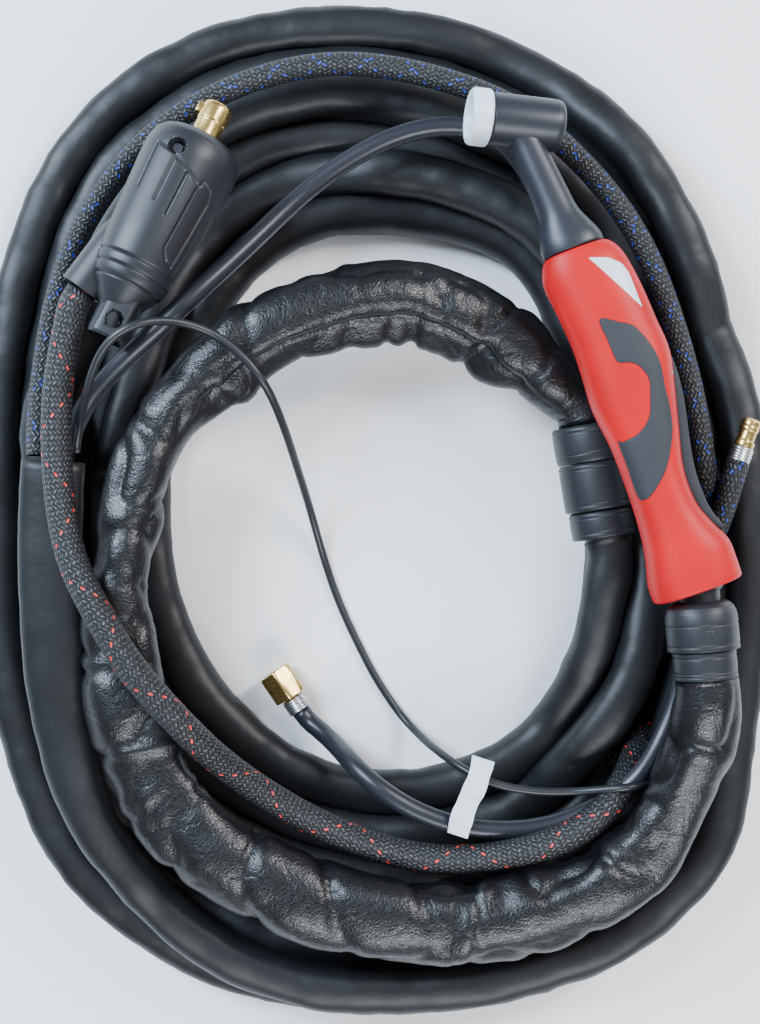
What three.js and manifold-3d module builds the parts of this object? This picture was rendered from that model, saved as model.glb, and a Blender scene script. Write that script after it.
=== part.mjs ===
// Water-cooled TIG welding torch lying on its coiled cable package.
// Millimetres, +Z up. The origin lies on the floor under the coil, below the torch's grip.
import * as THREE from 'three';
import { mergeVertices } from 'three/addons/utils/BufferGeometryUtils.js';
import Module from 'manifold-3d';

const wasm = await Module();
wasm.setup();

// ---------------------------------------------------------------- driving dimensions

const GAP = 0.3; // clearance between pieces that touch
const WELD = 1e-4; // vertices closer than this are one
const COIL_CENTRE = [-165, -20]; // the coil's middle, seen from the origin

const COIL_HEIGHT = 50; // two layers of the 24 mm protective sleeve
const COIL_ROUNDING = 7;
const COIL_OUTER = [
  [-16, 272], [70, 255], [139, 200], [181, 105], [202, 0], [200, -80], [183, -172], [120, -237],
  [10, -269], [-100, -249], [-170, -202], [-203, -115], [-211, 0], [-206, 110], [-172, 206], [-100, 259],
];
const COIL_INNER = [
  [11, 149], [-42, 144], [-78, 112], [-102, 59], [-112, -15], [-93, -80], [-42, -129], [11, -139],
  [64, -124], [97, -86], [107, -41], [104, 17], [98, 75], [72, 132],
];

const BALL = [154.6, -28.3, 87]; // centre of the swivel ball at the handle's rear
const TORCH_YAW = 19.7; // degrees from +Y, the way the torch points
const COLLAR_YAW = 5; // the cable leaves the ball less turned than the torch
const BALL_R = 14.5;
const BALL_BORE_R = 8.5;
const STEM_R = 10;
const SEAT_WALL = 0.7; // each of the two seat rings round the ball
const SEAT_FROM = 70; // degrees from the stem, where the seats begin and end
const SEAT_TO = 120;

// handle sections: distance ahead of the ball, left edge, right edge, half thickness
const HANDLE = [
  [-9, -25, 19.2, 19.6], [0, -24.8, 19.4, 19.8], [10, -22.3, 18.9, 19.4], [19, -20.4, 14.6, 18.4],
  [32, -19.2, 10, 17.2], [50, -18.8, 10, 16.6], [70, -19.3, 14.8, 17], [90, -21.6, 19.8, 17.8],
  [106, -21, 23, 18], [122, -20.5, 22, 17.8], [140, -22, 20.8, 17.2], [155, -23.6, 18.6, 16.4],
  [162, -22, 16.2, 15.6], [166.5, -19.6, 12.4, 14.4],
];
const HANDLE_SQUARENESS = 2.6; // exponent of the section's superellipse
const WALL = 2.7;
const HOLLOW_START = 20; // ahead of here the handle is hollow, behind it holds the ball
const FRONT_WALL = 4;
const REAR_OPENING_R = 15.5;

const GRIP_DEPTH = 1.7;
const GRIP_PROUD = 0.5;
const GRIP_OUTLINE = [
  [-6.5, 130], [2, 125.5], [8.8, 120], [14, 104], [12.4, 88], [11.6, 78.7], [8.6, 67.4], [0.4, 53.2],
  [-9.1, 44.2], [-14.7, 41.5], [-17, 44], [-17, 71.8], [-15, 71.1], [-6.6, 72.8], [0, 78.2],
  [3.4, 86.3], [5.9, 94.8], [4.2, 101.6], [0.4, 105.5], [-4.6, 107.3], [-5.8, 109.8],
];
const LABEL_OUTLINE = [[-1.8, 160], [8, 156.6], [13.4, 152], [15.2, 147], [15.4, 128]];
const LABEL_DEPTH = 0.5;
const LABEL_PROUD = 0.2;

const TRIGGER_OUTLINE = [
  [22, 103], [22.8, 96], [21.8, 84], [19.6, 72], [17, 60], [15, 48], [14.6, 36], [15.6, 26],
  [18.6, 16.5], [15.6, 16], [11, 24], [8, 36], [8, 50], [11.5, 66], [14.5, 82], [15, 94], [17, 102],
];
const TRIGGER_HALF = 6; // half its thickness
const TRIGGER_SLOT = 3.2; // how much deeper than the trigger its slot is
const TRIGGER_PIN = [18.2, 95];
const PIN_R = 1.4;
const PIN_HALF = 10.5;
const SPRING_WIRE = 0.8;

const SCREWS = [[11.5, 118], [11.5, 140], [-14.2, 29]];
const SCREW_HEAD_R = 2.7;
const SCREW_SHANK_R = 1.1;
const SCREW_HEAD_Z = -10.3;
const SCREW_TIP_Z = 8;

const BARREL_MID = [-6.8, 234.5, 0]; // where the neck meets the head's barrel
const BARREL_AHEAD = 16; // rubber barrel, from there towards the nozzle end
const BARREL_BEHIND = 19.8; // and towards the back cap end
const BARREL_R = 12.7;
const BARREL_YAW = 66; // degrees from the torch's axis to the nozzle's
const BARREL_LIFT = 9;
const BRASS_R = 9.2;
const BORE_R = 5.5;
const GASKET_LENGTH = 10.7;
const GASKET_R = 13.9;
const NECK = [ // distance ahead of the ball, centre, half width, half thickness
  [166.8, -4, 15.6, 13.6], [172, -4.2, 15.2, 13.2], [179, -4.8, 12.6, 11.6], [186, -5.3, 10.1, 10.2],
  [196, -6, 9.3, 9.4], [212, -7.4, 8.7, 8.8], [226, -8.6, 7.9, 8.4], [234, -8.6, 7.6, 8.2],
];
const SPIGOT_R = 10.5;
const SPIGOT_START = 151;
const SOCKET_R = 6; // brass boss of the head that the tubes are brazed to
const SOCKET_END = 216;
const TUBE_END = 132;
const LEAD_SPREAD = 104; // by here the flexible leads lie side by side
const LEAD_END = 38;
const TUBES = [ // name, radius, place in the socket, place of its end, lead radius, lead's place
  ['power_water_tube', 2.4, [-2.9, -2.2], [-9, -4], 3.8, [-10.6, -4.4]],
  ['gas_tube', 2, [0, 3.1], [-4, 5], 2.6, [-11, 5]],
  ['water_inlet_tube', 2, [2.9, -2.2], [3.5, -3], 2.8, [-3.8, 8]],
];

const LEATHER_R = 17;
const LEATHER_ROUTE = [
  [159.5, -99.3, 84.6], [157.7, -116.3, 79], [149.8, -142.3, 71.5], [135, -166.9, 68],
  [114, -186, 67.6], [96.5, -195.5, 67.6], [55, -206.5, 67.6], [18.5, -207, 67.6], [-23.5, -198, 67.6],
  [-54.5, -186.5, 67.6], [-86.5, -169, 67.6], [-107.5, -147, 67.6], [-120.5, -120, 67.6],
  [-129, -89, 67.6], [-131.5, -59, 67.6], [-130.5, -30.5, 67.6], [-126, -4, 67.6], [-119, 24.5, 67.6],
  [-107.5, 46, 67.6], [-92, 65.5, 67.6], [-75, 81.5, 67.6], [-56.6, 93.6, 67], [-38.6, 101.9, 65],
  [-13.6, 107.8, 62], [20.3, 111.5, 57], [42.8, 104.9, 53], [65, 91.1, 49], [85.6, 70.7, 43],
];
const COUPLER_TOP = [107.7, 45, 40];
const COUPLER_FOOT = [117, -12.9, 40];
const COUPLER_R = 19.3;

const MOUTH = [-164.8, 25.7, 61.5]; // square-cut open end of the sleeve, on top of the coil
const SLEEVE_END_ROUTE = [[-164.9, 16, 61.5], [-165.5, -8, 61.5], [-165.8, -34, 61.5]];
const SLEEVE_END_HALF = [17.4, 11];

const RED_R = 7.5;
const RED_ROUTE = [
  [-151.2, 97.5, 82.5], [-155.5, 81.1, 82], [-158.4, 64.8, 82], [-159.5, 48.6, 82], [-159.5, 32.1, 82],
  [-158.5, 15.7, 82.5], [-156.2, -1.5, 84], [-152.8, -17.6, 87], [-147.2, -31.8, 90],
  [-136.4, -49.8, 93.2], [-126.4, -68, 93.2], [-114.3, -84.1, 93.2], [-97.8, -102.8, 89],
  [-84.7, -118.4, 80], [-67.2, -135, 67], [-44.6, -150.9, 60], [-23.8, -161.7, 58.5],
  [-2.5, -170.1, 58.5], [18.6, -175.4, 58.5], [39.4, -176.7, 59.3], [60.5, -174.2, 61],
];
const BLUE_R = 6;
const BLUE_ROUTE = [
  [-172.3, 28.7, 61.2], [-172.7, 41.4, 60], [-173.1, 54.2, 57.2], [-171.6, 66.9, 56.6],
  [-169, 83.8, 56.6], [-166.5, 100.9, 56.6], [-161.4, 117.7, 56.6], [-156.3, 134.5, 56.6],
  [-150.6, 146.6, 56.6], [-142, 159.9, 56.6], [-133.5, 171.9, 56.6], [-125.3, 182.7, 56.6],
  [-117.1, 190.3, 56.6], [-108.2, 197.5, 56.6], [-98, 203.9, 56.6], [-86.7, 210.5, 56.6],
  [-76.1, 215.3, 56.6], [-62.9, 220.3, 56.6], [-43.1, 225.7, 56.6], [-22, 228.2, 56.6],
  [-1, 226.9, 56.6], [20.3, 223.1, 56.6], [41.4, 217, 56.6], [60.9, 209.4, 56.6], [78.6, 199.3, 56.6],
  [94.2, 185.7, 56.6], [109, 170.9, 56.6], [121.7, 155.2, 56.6], [132.3, 138.4, 56.6],
  [140.7, 120.2, 56.6], [148.1, 99, 56.6], [154.5, 78.1, 56.6], [159.7, 56.8, 56.6], [163, 37.8, 56.6],
  [164.6, 23.8, 56.6], [165.3, 12.7, 56.6],
];
const BLUE_END_ROUTE = [[177.4, 9.5, 56.6], [179, 17, 56.6]];
const GAS_R = 5;
const GAS_ROUTE = [
  [-157.5, 30.4, 57.6], [-154.7, 44, 59], [-148.2, 55.4, 64], [-135.9, 67.3, 72], [-121.7, 79.8, 79],
  [-108, 91, 82], [-95, 104.2, 81], [-82.6, 116.4, 76], [-69.9, 129.9, 69], [-57.1, 143.7, 62],
  [-44.1, 157.6, 57], [-30.5, 169.3, 55.6], [-16.9, 178.7, 55.6], [-3.6, 186.6, 55.6],
  [10.2, 192.4, 55.6], [20.3, 195.5, 55.6], [33, 197, 55.6], [43.7, 196.5, 55.6], [55.9, 194, 55.6],
  [65, 187.9, 55.6], [73.1, 177.2, 55.6], [83.8, 155.9, 55.6], [96.5, 126.9, 55.6],
  [110.7, 92.4, 55.6], [122.9, 56.9, 55.6], [134, 21.3, 55.6], [144.2, -14.2, 55.6],
  [152.3, -44.7, 55.6], [155.4, -70.1, 55.6], [152.3, -92.4, 55.6], [147.7, -105.1, 55.6],
  [141.2, -119.8, 55.6], [132.9, -132.5, 55.6], [120.2, -144.2, 55.6], [107.5, -151.8, 55.6],
  [92.7, -157.9, 55.6], [77.7, -161.7, 55.6], [60.9, -162.3, 55.6], [44, -160.9, 55.6],
  [29.2, -156.9, 55.6], [14.2, -150.7, 55.6], [4.6, -144.6, 56], [-3.6, -138.5, 56],
  [-11.2, -132, 52.5], [-16.5, -127.7, 41], [-22.1, -124.1, 27], [-27.7, -119.9, 16.5],
  [-33.2, -115.2, 11.8],
];
const CABLE_R = 2.1;
const CABLE_ROUTE = [
  [-152.1, 30, 67.4], [-150.5, 38.4, 70.5], [-147.3, 47.8, 79], [-142, 60.1, 92], [-134.3, 76, 102.5],
  [-125, 85.6, 107], [-114.1, 90.4, 106.5], [-102.4, 92.2, 99], [-90.6, 90.6, 92], [-77.9, 85.4, 88],
  [-65, 74.1, 87.6], [-55.5, 61.3, 84], [-48.6, 43.6, 66], [-43.1, 23.5, 40], [-37.4, 2.1, 18],
  [-31.3, -21.6, 6], [-24.4, -43.3, 2.6], [-16.2, -62.6, 2.6], [-9.7, -75.8, 2.6], [-2.7, -89.6, 2.6],
  [4.3, -100.2, 2.6], [10.8, -109.8, 3.5], [17.2, -116.1, 9], [23.8, -121.2, 22], [31.1, -125.1, 38],
  [39.8, -129.7, 51], [47.7, -133.9, 56.5], [56.6, -137.9, 57], [66.9, -140.4, 57], [77.6, -142, 56.5],
  [88.8, -142.5, 56.5], [98.9, -142, 56.8], [109.1, -140.9, 60], [116.6, -139.5, 63.5],
  [123, -138.1, 64.4], [128.6, -137.4, 63.8], [133.7, -137.6, 61.9], [138.9, -137.4, 55.4],
  [150.5, -129.7, 54.5], [159.8, -121.6, 54], [168.5, -112, 53.5],
];
const PLUG_SIZE = [9.5, 24, 9];
const PLUG_PLACE = [171.5, -97.5, 55];
const TAG_SIZE = [15, 41, 0.8];
const TAG_PLACE = [45.6, -143.6, 62.2];
const TAG_YAW = -18;

const CONNECTOR_RIM = [-92.5, 175, 77]; // centre of the shell's front rim
const CONNECTOR_YAW = -25.5;
const CONNECTOR_LIFT = -9; // its pin points down a little
const SHELL_PROFILE = [
  [0, -101], [6.6, -101], [7.4, -99], [8, -86], [11.5, -82], [15, -77], [18.2, -72], [19.4, -67], [20.2, -61],
  [21.8, -45], [23.4, -20], [24.2, -6], [24, 0], [22.6, 5], [19.4, 8.4], [15, 10], [0, 10],
];
const TAIL_SIZE = [16, 19, 17]; // block at the shell's tail
const TAIL_PLACE = [3.5, -91, 0.5];
const PIN_PLUG_R = 7.3;
const PIN_PLUG_END = 30;
const INSERT_END = -34;
const BOSS_FROM = [-10, -36, -1.5];
const BOSS_TO = [-19.5, -83, -6];
const BOSS_R = 11.4;
const SHELL_SCREWS = [[-4.5, -5, 23.7], [4, -92, 9]]; // across and along the shell, and its height there
const SHELL_SCREW_DEPTH = 7;

const NUT_HEX_R = 9.7; // 17 mm across flats
const NUT_LENGTH = 16;
const NUT_BORE_R = 6.2;
const GAS_END = [-45.2, -102.8, 10.6];
const GAS_END_YAW = 34; // degrees from +Y, the way the nut points
const WATER_END = [182.8, 29.5, 56.8];
const WATER_END_YAW = -19;

const ROUND = 24; // sides of a turned piece
const SMALL_ROUND = 16;

// ---------------------------------------------------------------- materials

const material = (color, roughness, metalness = 0) =>
  new THREE.MeshStandardMaterial({ color, roughness, metalness });

const MATERIALS = {
  redPlastic: material(0xd93a36, 0.42),
  gripRubber: material(0x3d434a, 0.8),
  headRubber: material(0x3a3d45, 0.62),
  blackPlastic: material(0x33373d, 0.55),
  gasket: material(0xe4edf2, 0.4),
  brass: material(0xc9a24c, 0.3, 1),
  steel: material(0xbfc3c7, 0.3, 1),
  copper: material(0xb87348, 0.35, 1),
  label: material(0xe6eef2, 0.5),
  leather: material(0x23262e, 0.5),
  sleeve: material(0x26282b, 0.6),
  redHose: material(0x4b3a3e, 0.7),
  blueHose: material(0x35405a, 0.7),
  gasHose: material(0x2b2f38, 0.45),
  cable: material(0x2c3034, 0.5),
};

// ---------------------------------------------------------------- geometry helpers

const radians = THREE.MathUtils.degToRad;
const vector = (point) => new THREE.Vector3(...point);
const flat = (point) => new THREE.Vector2(...point);

// Turns a geometry's triangles round if they face inwards, so that every piece faces out.
function facingOut(geometry) {
  const p = geometry.attributes.position;
  const index = geometry.index.array;
  const a = new THREE.Vector3();
  const b = new THREE.Vector3();
  const c = new THREE.Vector3();
  let volume = 0;
  for (let i = 0; i < index.length; i += 3) {
    a.fromBufferAttribute(p, index[i]);
    b.fromBufferAttribute(p, index[i + 1]);
    c.fromBufferAttribute(p, index[i + 2]);
    volume += a.dot(b.cross(c));
  }
  if (volume < 0) {
    for (let i = 0; i < index.length; i += 3) {
      const first = index[i];
      index[i] = index[i + 1];
      index[i + 1] = first;
    }
  }
  return geometry;
}

// A geometry with one vertex per corner and its faces pointing out.
function closed(geometry) {
  const bare = geometry.clone();
  bare.deleteAttribute('normal');
  bare.deleteAttribute('uv');
  const merged = facingOut(mergeVertices(bare, WELD));
  merged.computeVertexNormals();
  return merged;
}

function solidOf(geometry) {
  const merged = closed(geometry);
  return new wasm.Manifold(new wasm.Mesh({
    numProp: 3,
    vertProperties: new Float32Array(merged.attributes.position.array),
    triVerts: new Uint32Array(merged.index.array),
  }));
}

function geometryOf(solid) {
  const mesh = solid.getMesh();
  const geometry = new THREE.BufferGeometry();
  geometry.setAttribute('position', new THREE.BufferAttribute(new Float32Array(mesh.vertProperties), 3));
  geometry.setIndex(new THREE.BufferAttribute(new Uint32Array(mesh.triVerts), 1));
  geometry.computeVertexNormals();
  return geometry;
}

const join = (first, ...others) => others.reduce((sum, other) => sum.add(other), first);
const cut = (first, ...others) => others.reduce((sum, other) => sum.subtract(other), first);

// A cylinder between two points.
function rod(radius, from, to, sides = SMALL_ROUND) {
  const start = vector(from);
  const along = vector(to).sub(start);
  const geometry = new THREE.CylinderGeometry(radius, radius, along.length(), sides);
  const turn = new THREE.Quaternion().setFromUnitVectors(
    new THREE.Vector3(0, 1, 0),
    along.clone().normalize(),
  );
  geometry.applyQuaternion(turn);
  const middle = start.addScaledVector(along, 0.5);
  geometry.translate(middle.x, middle.y, middle.z);
  return geometry;
}

function block(size, centre) {
  return new THREE.BoxGeometry(...size).translate(...centre);
}

// A turned piece about +Y from a profile of [radius, distance along +Y].
const turned = (profile, sides = ROUND) => new THREE.LatheGeometry(profile.map(flat), sides);

// The profile of a ring: an inner and an outer radius between two places along +Y.
const ringProfile = (inner, outer, from, to) => [
  [inner, from], [outer, from], [outer, to], [inner, to], [inner, from],
];

// Points of an arc about the origin, in degrees from -Y.
function arcPoints(radius, from, to, count) {
  return Array.from({ length: count + 1 }, (_, i) => {
    const angle = radians(from + ((to - from) * i) / count);
    return [radius * Math.sin(angle), -radius * Math.cos(angle)];
  });
}

function ovalShape(halfWidth, halfHeight, sides) {
  const corner = (_, i) => new THREE.Vector2(
    halfWidth * Math.cos((2 * Math.PI * i) / sides),
    halfHeight * Math.sin((2 * Math.PI * i) / sides),
  );
  return new THREE.Shape(Array.from({ length: sides }, corner));
}

// A tube of one section along a smooth curve through the route's points.
function tube(route, section, steps) {
  const extrudePath = new THREE.CatmullRomCurve3(route.map(vector), false, 'centripetal');
  return new THREE.ExtrudeGeometry(section, { steps, extrudePath, bevelEnabled: false });
}

// An upright prism of an outline between two heights, its outline grown by `grow`.
function prism(outline, low, high, grow = 0) {
  const shape = new THREE.Shape(outline.map(flat));
  const bevel = {
    bevelEnabled: grow > 0,
    bevelThickness: 0,
    bevelSize: grow,
    bevelSegments: 1,
  };
  const geometry = new THREE.ExtrudeGeometry(shape, { depth: high - low, ...bevel });
  return geometry.translate(0, 0, low);
}

// One column of a table of sections, interpolated smoothly at a place along it.
function along(table, place, column) {
  const last = table.length - 1;
  const found = table.findIndex((row) => row[0] >= place);
  const i = found < 0 ? last : Math.max(found, 1);
  const [p0, p1, p2, p3] = [i - 2, i - 1, i, i + 1].map((k) => table[THREE.MathUtils.clamp(k, 0, last)]);
  const t = THREE.MathUtils.clamp((place - p1[0]) / (p2[0] - p1[0]), 0, 1);
  const slope = (a, b) => ((b[column] - a[column]) / (b[0] - a[0])) * (p2[0] - p1[0]);
  const m1 = slope(p0, p2);
  const m2 = slope(p1, p3);
  const h = t * t * (3 - 2 * t);
  const start = (1 - h) * p1[column] + t * (1 - t) * (1 - t) * m1;
  return start + h * p2[column] - t * t * (1 - t) * m2;
}

// A lofted body along +Y: `section` gives centre, half width and half thickness at each place.
function loft(from, to, rows, sides, squareness, section) {
  const geometry = new THREE.CylinderGeometry(1, 1, 1, sides, rows);
  const p = geometry.attributes.position;
  const bulge = (value) => Math.sign(value) * Math.abs(value) ** (2 / squareness);
  for (let i = 0; i < p.count; i += 1) {
    const place = from + (to - from) * (p.getY(i) + 0.5);
    const [centre, halfWidth, halfThickness] = section(place);
    p.setXYZ(i, centre + halfWidth * bulge(p.getX(i)), place, halfThickness * bulge(p.getZ(i)));
  }
  return geometry;
}

// The handle's outer form, grown or shrunk by `grow`, between two places.
function handleForm(grow, from = HANDLE[0][0] - grow, to = HANDLE.at(-1)[0] + grow) {
  const section = (place) => {
    const left = along(HANDLE, place, 1);
    const right = along(HANDLE, place, 2);
    return [(left + right) / 2, (right - left) / 2 + grow, along(HANDLE, place, 3) + grow];
  };
  return solidOf(loft(from, to, 16, 20, HANDLE_SQUARENESS, section));
}

// A skin over the handle inside an outline: `proud` above its surface and `deep` below it.
function handleSkin(outline, proud, deep, side, grow = 0) {
  const reach = 30;
  const [low, high] = side > 0 ? [1, reach] : [-reach, -1];
  const stamp = solidOf(prism(outline, low, high, grow));
  return stamp.intersect(handleForm(proud).subtract(handleForm(-deep)));
}

// ---------------------------------------------------------------- assembly helpers

const group = new THREE.Group();

function place(parent, position, yaw = 0, lift = 0) {
  const child = new THREE.Group();
  child.position.set(...position);
  child.rotation.set(radians(lift), 0, radians(yaw), 'ZXY');
  parent.add(child);
  return child;
}

function piece(parent, name, shape, look) {
  const geometry = shape.isBufferGeometry ? closed(shape) : geometryOf(shape);
  const mesh = new THREE.Mesh(geometry, MATERIALS[look]);
  mesh.name = name;
  parent.add(mesh);
}

const cablePackage = place(group, [...COIL_CENTRE, 0]);
const torch = place(cablePackage, BALL, TORCH_YAW);
const collar = place(cablePackage, BALL, COLLAR_YAW);
const connector = place(cablePackage, CONNECTOR_RIM, CONNECTOR_YAW, CONNECTOR_LIFT);
const gasEnd = place(cablePackage, GAS_END, GAS_END_YAW);
const waterEnd = place(cablePackage, WATER_END, WATER_END_YAW);

// A point of a placed group, seen from the cable package.
function seenFromPackage(parent, point) {
  parent.updateMatrix();
  return vector(point).applyMatrix4(parent.matrix).toArray();
}

// ---------------------------------------------------------------- head and neck

function barrelGeometry(geometry) {
  const turn = new THREE.Euler(radians(BARREL_LIFT), 0, radians(BARREL_YAW), 'ZXY');
  return geometry
    .applyMatrix4(new THREE.Matrix4().makeRotationFromEuler(turn))
    .translate(...BARREL_MID);
}

function neckPoint(place) {
  return [along(NECK, place, 1), place, 0];
}

// A point of a tube that runs straight from the head's socket to its open end.
function tubePoint([, , root, end], place) {
  const rootX = along(NECK, SOCKET_END, 1) + root[0];
  const t = (SOCKET_END - place) / (SOCKET_END - TUBE_END);
  return [rootX + (end[0] - rootX) * t, place, root[1] + (end[1] - root[1]) * t];
}

function buildHead() {
  const bore = barrelGeometry(rod(BORE_R, [0, -40, 0], [0, 40, 0], 24));
  const barrel = barrelGeometry(rod(BRASS_R, [0, -BARREL_BEHIND, 0], [0, BARREL_AHEAD, 0], 24));
  const socket = rod(SOCKET_R, neckPoint(SOCKET_END), neckPoint(232), 20);
  const brass = cut(join(solidOf(barrel), solidOf(socket)), solidOf(bore));
  piece(torch, 'head_body', brass, 'brass');

  const coverProfile = [
    [0, -BARREL_BEHIND], [BARREL_R - 3, -BARREL_BEHIND], [BARREL_R - 1, 1 - BARREL_BEHIND],
    [BARREL_R, 3.4 - BARREL_BEHIND], [BARREL_R, BARREL_AHEAD], [0, BARREL_AHEAD],
  ];
  const neckSection = (place) => [1, 2, 3].map((column) => along(NECK, place, column));
  const neck = loft(NECK[0][0], NECK.at(-1)[0], 12, 24, 2.2, neckSection);
  const spigot = rod(SPIGOT_R, [-4, SPIGOT_START, 0], [-4, NECK[0][0] + 1, 0], 24);
  const outside = join(solidOf(barrelGeometry(turned(coverProfile))), solidOf(neck), solidOf(spigot));
  const barrelHole = barrelGeometry(rod(BRASS_R + GAP, [0, -40, 0], [0, 40, 0], 24));
  const socketHole = rod(SOCKET_R + GAP, neckPoint(SOCKET_END - GAP), neckPoint(232), 20);
  const tubeHole = (row) => {
    const ends = [SOCKET_END, SPIGOT_START - 1].map((at) => tubePoint(row, at));
    return solidOf(rod(row[1] + GAP, ...ends, 12));
  };
  const holes = [solidOf(barrelHole), solidOf(socketHole), ...TUBES.map(tubeHole)];
  piece(torch, 'head_cover', cut(outside, ...holes), 'headRubber');

  for (const row of TUBES) {
    const ends = [SOCKET_END - GAP, TUBE_END].map((at) => tubePoint(row, at));
    piece(torch, row[0], rod(row[1], ...ends, 12), 'copper');
  }
}

function buildGasket() {
  const front = BARREL_AHEAD + GASKET_LENGTH;
  const back = BARREL_AHEAD + GAP;
  const profile = [
    [7.2, back], [GASKET_R - 1, back], [GASKET_R, back + 1], [GASKET_R, front - 1.8],
    [GASKET_R - 0.6, front - 0.6], [GASKET_R - 1.8, front], [10.6, front], [7.2, front - 6],
    [7.2, back],
  ];
  piece(torch, 'cup_gasket', barrelGeometry(turned(profile)), 'gasket');
}

// ---------------------------------------------------------------- handle

const half = (side) => solidOf(block([120, 260, 60], [0, 80, side * (30 + GAP / 2)]));
const trimmed = (side) => handleForm(-1).intersect(half(side));

function triggerSlot() {
  const deepen = ([x, y]) => [x - TRIGGER_SLOT, y];
  const middle = TRIGGER_OUTLINE.length / 2;
  const outline = TRIGGER_OUTLINE.map((point, i) => (i > middle ? deepen(point) : [point[0] + 8, point[1]]));
  return solidOf(prism(outline, -TRIGGER_HALF - GAP, TRIGGER_HALF + GAP, 3 * GAP));
}

function pinBoss(side) {
  const inner = TRIGGER_HALF + GAP;
  const boss = rod(3.6, [...TRIGGER_PIN, side * inner], [...TRIGGER_PIN, side * 20], 16);
  return solidOf(boss).intersect(trimmed(side));
}

function screwBoss([x, y], side) {
  const boss = rod(3.8, [x, y, (side * GAP) / 2], [x, y, side * 20], 16);
  return solidOf(boss).intersect(trimmed(side));
}

function buildShell(name, side) {
  const hollow = handleForm(-WALL, HOLLOW_START, HANDLE.at(-1)[0] - FRONT_WALL);
  const ballRoom = BALL_R + 2 * SEAT_WALL + 3 * GAP;
  const openings = [
    hollow,
    solidOf(turned(arcPoints(ballRoom, 0, 180, 18))),
    solidOf(rod(REAR_OPENING_R, [0, -20, 0], [0, 0, 0], 24)),
    solidOf(rod(12, [0, 0, 0], [0, HOLLOW_START + 3, 0], 24)),
    solidOf(rod(SPIGOT_R + GAP, [-4, SPIGOT_START - 5, 0], [-4, 180, 0], 24)),
  ];
  const walls = cut(handleForm(0), ...openings).intersect(half(side));
  const bosses = [pinBoss(side), ...SCREWS.map((at) => screwBoss(at, side))];
  const holes = [
    triggerSlot(),
    solidOf(rod(PIN_R + GAP, [...TRIGGER_PIN, -PIN_HALF - GAP], [...TRIGGER_PIN, PIN_HALF + GAP])),
    handleSkin(GRIP_OUTLINE, 4, GRIP_DEPTH + GAP, side, GAP),
  ];
  if (side > 0) {
    holes.push(handleSkin(LABEL_OUTLINE, 4, LABEL_DEPTH + GAP, side, GAP));
  } else {
    holes.push(solidOf(rod(5.4, [...TRIGGER_PIN, -9.3], [...TRIGGER_PIN, -6])));
  }
  for (const [x, y] of SCREWS) {
    holes.push(solidOf(rod(SCREW_SHANK_R + GAP, [x, y, -30], [x, y, SCREW_TIP_Z + GAP], 12)));
    holes.push(solidOf(rod(SCREW_HEAD_R + GAP, [x, y, -30], [x, y, SCREW_HEAD_Z + GAP], 16)));
  }
  piece(torch, name, cut(join(walls, ...bosses), ...holes), 'redPlastic');
}

function buildHandle() {
  buildShell('handle_shell_top', 1);
  buildShell('handle_shell_bottom', -1);
  piece(torch, 'grip_inlay_top', handleSkin(GRIP_OUTLINE, GRIP_PROUD, GRIP_DEPTH, 1), 'gripRubber');
  piece(torch, 'grip_inlay_bottom', handleSkin(GRIP_OUTLINE, GRIP_PROUD, GRIP_DEPTH, -1), 'gripRubber');
  piece(torch, 'label_plate', handleSkin(LABEL_OUTLINE, LABEL_PROUD, LABEL_DEPTH, 1), 'label');
  SCREWS.forEach(([x, y], i) => {
    const profile = [
      [0, SCREW_HEAD_Z - 2], [SCREW_HEAD_R, SCREW_HEAD_Z - 1.6], [SCREW_HEAD_R, SCREW_HEAD_Z],
      [SCREW_SHANK_R, SCREW_HEAD_Z], [SCREW_SHANK_R, SCREW_TIP_Z], [0, SCREW_TIP_Z],
    ];
    const screw = turned(profile, SMALL_ROUND).rotateX(Math.PI / 2).translate(x, y, 0);
    piece(torch, `handle_screw_${i + 1}`, screw, 'steel');
  });
}

// Flexible leads inside the handle, from the head's tubes towards the ball.
function buildInnerHoses() {
  for (const row of TUBES) {
    const [x, z] = row[5];
    const starts = [TUBE_END - GAP, TUBE_END - 6].map((at) => tubePoint(row, at));
    const route = [...starts, [x, LEAD_SPREAD, z], [x, (LEAD_SPREAD + LEAD_END) / 2, z], [x, LEAD_END, z]];
    const section = ovalShape(row[4], row[4], 10);
    piece(torch, row[0].replace('tube', 'lead'), tube(route, section, 8), 'gasHose');
  }
}

// ---------------------------------------------------------------- trigger

function buildTrigger() {
  const lever = solidOf(prism(TRIGGER_OUTLINE, -TRIGGER_HALF, TRIGGER_HALF));
  const hub = solidOf(rod(3.2, [...TRIGGER_PIN, -TRIGGER_HALF], [...TRIGGER_PIN, TRIGGER_HALF]));
  const hole = solidOf(rod(PIN_R + GAP, [...TRIGGER_PIN, -20], [...TRIGGER_PIN, 20]));
  piece(torch, 'trigger', cut(join(lever, hub), hole), 'gripRubber');
  piece(torch, 'trigger_pin', rod(PIN_R, [...TRIGGER_PIN, -PIN_HALF], [...TRIGGER_PIN, PIN_HALF]), 'steel');

  const [x, y] = TRIGGER_PIN;
  const springZ = -TRIGGER_HALF - GAP - SPRING_WIRE;
  const turns = ringProfile(PIN_R + GAP + 1, PIN_R + GAP + 1 + 2 * SPRING_WIRE, -SPRING_WIRE, SPRING_WIRE);
  const coil = turned(turns, 20).rotateX(Math.PI / 2).translate(x, y, springZ);
  piece(torch, 'trigger_spring', coil, 'steel');
  const button = rod(1.4, [2, 52, 0], [4.4, 52, 0], 12);
  const body = block([6.4, 20, 6.4], [-0.8, 52, 0]);
  piece(torch, 'microswitch', join(solidOf(body), solidOf(button)), 'blackPlastic');
}

// ---------------------------------------------------------------- swivel ball and collar

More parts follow.
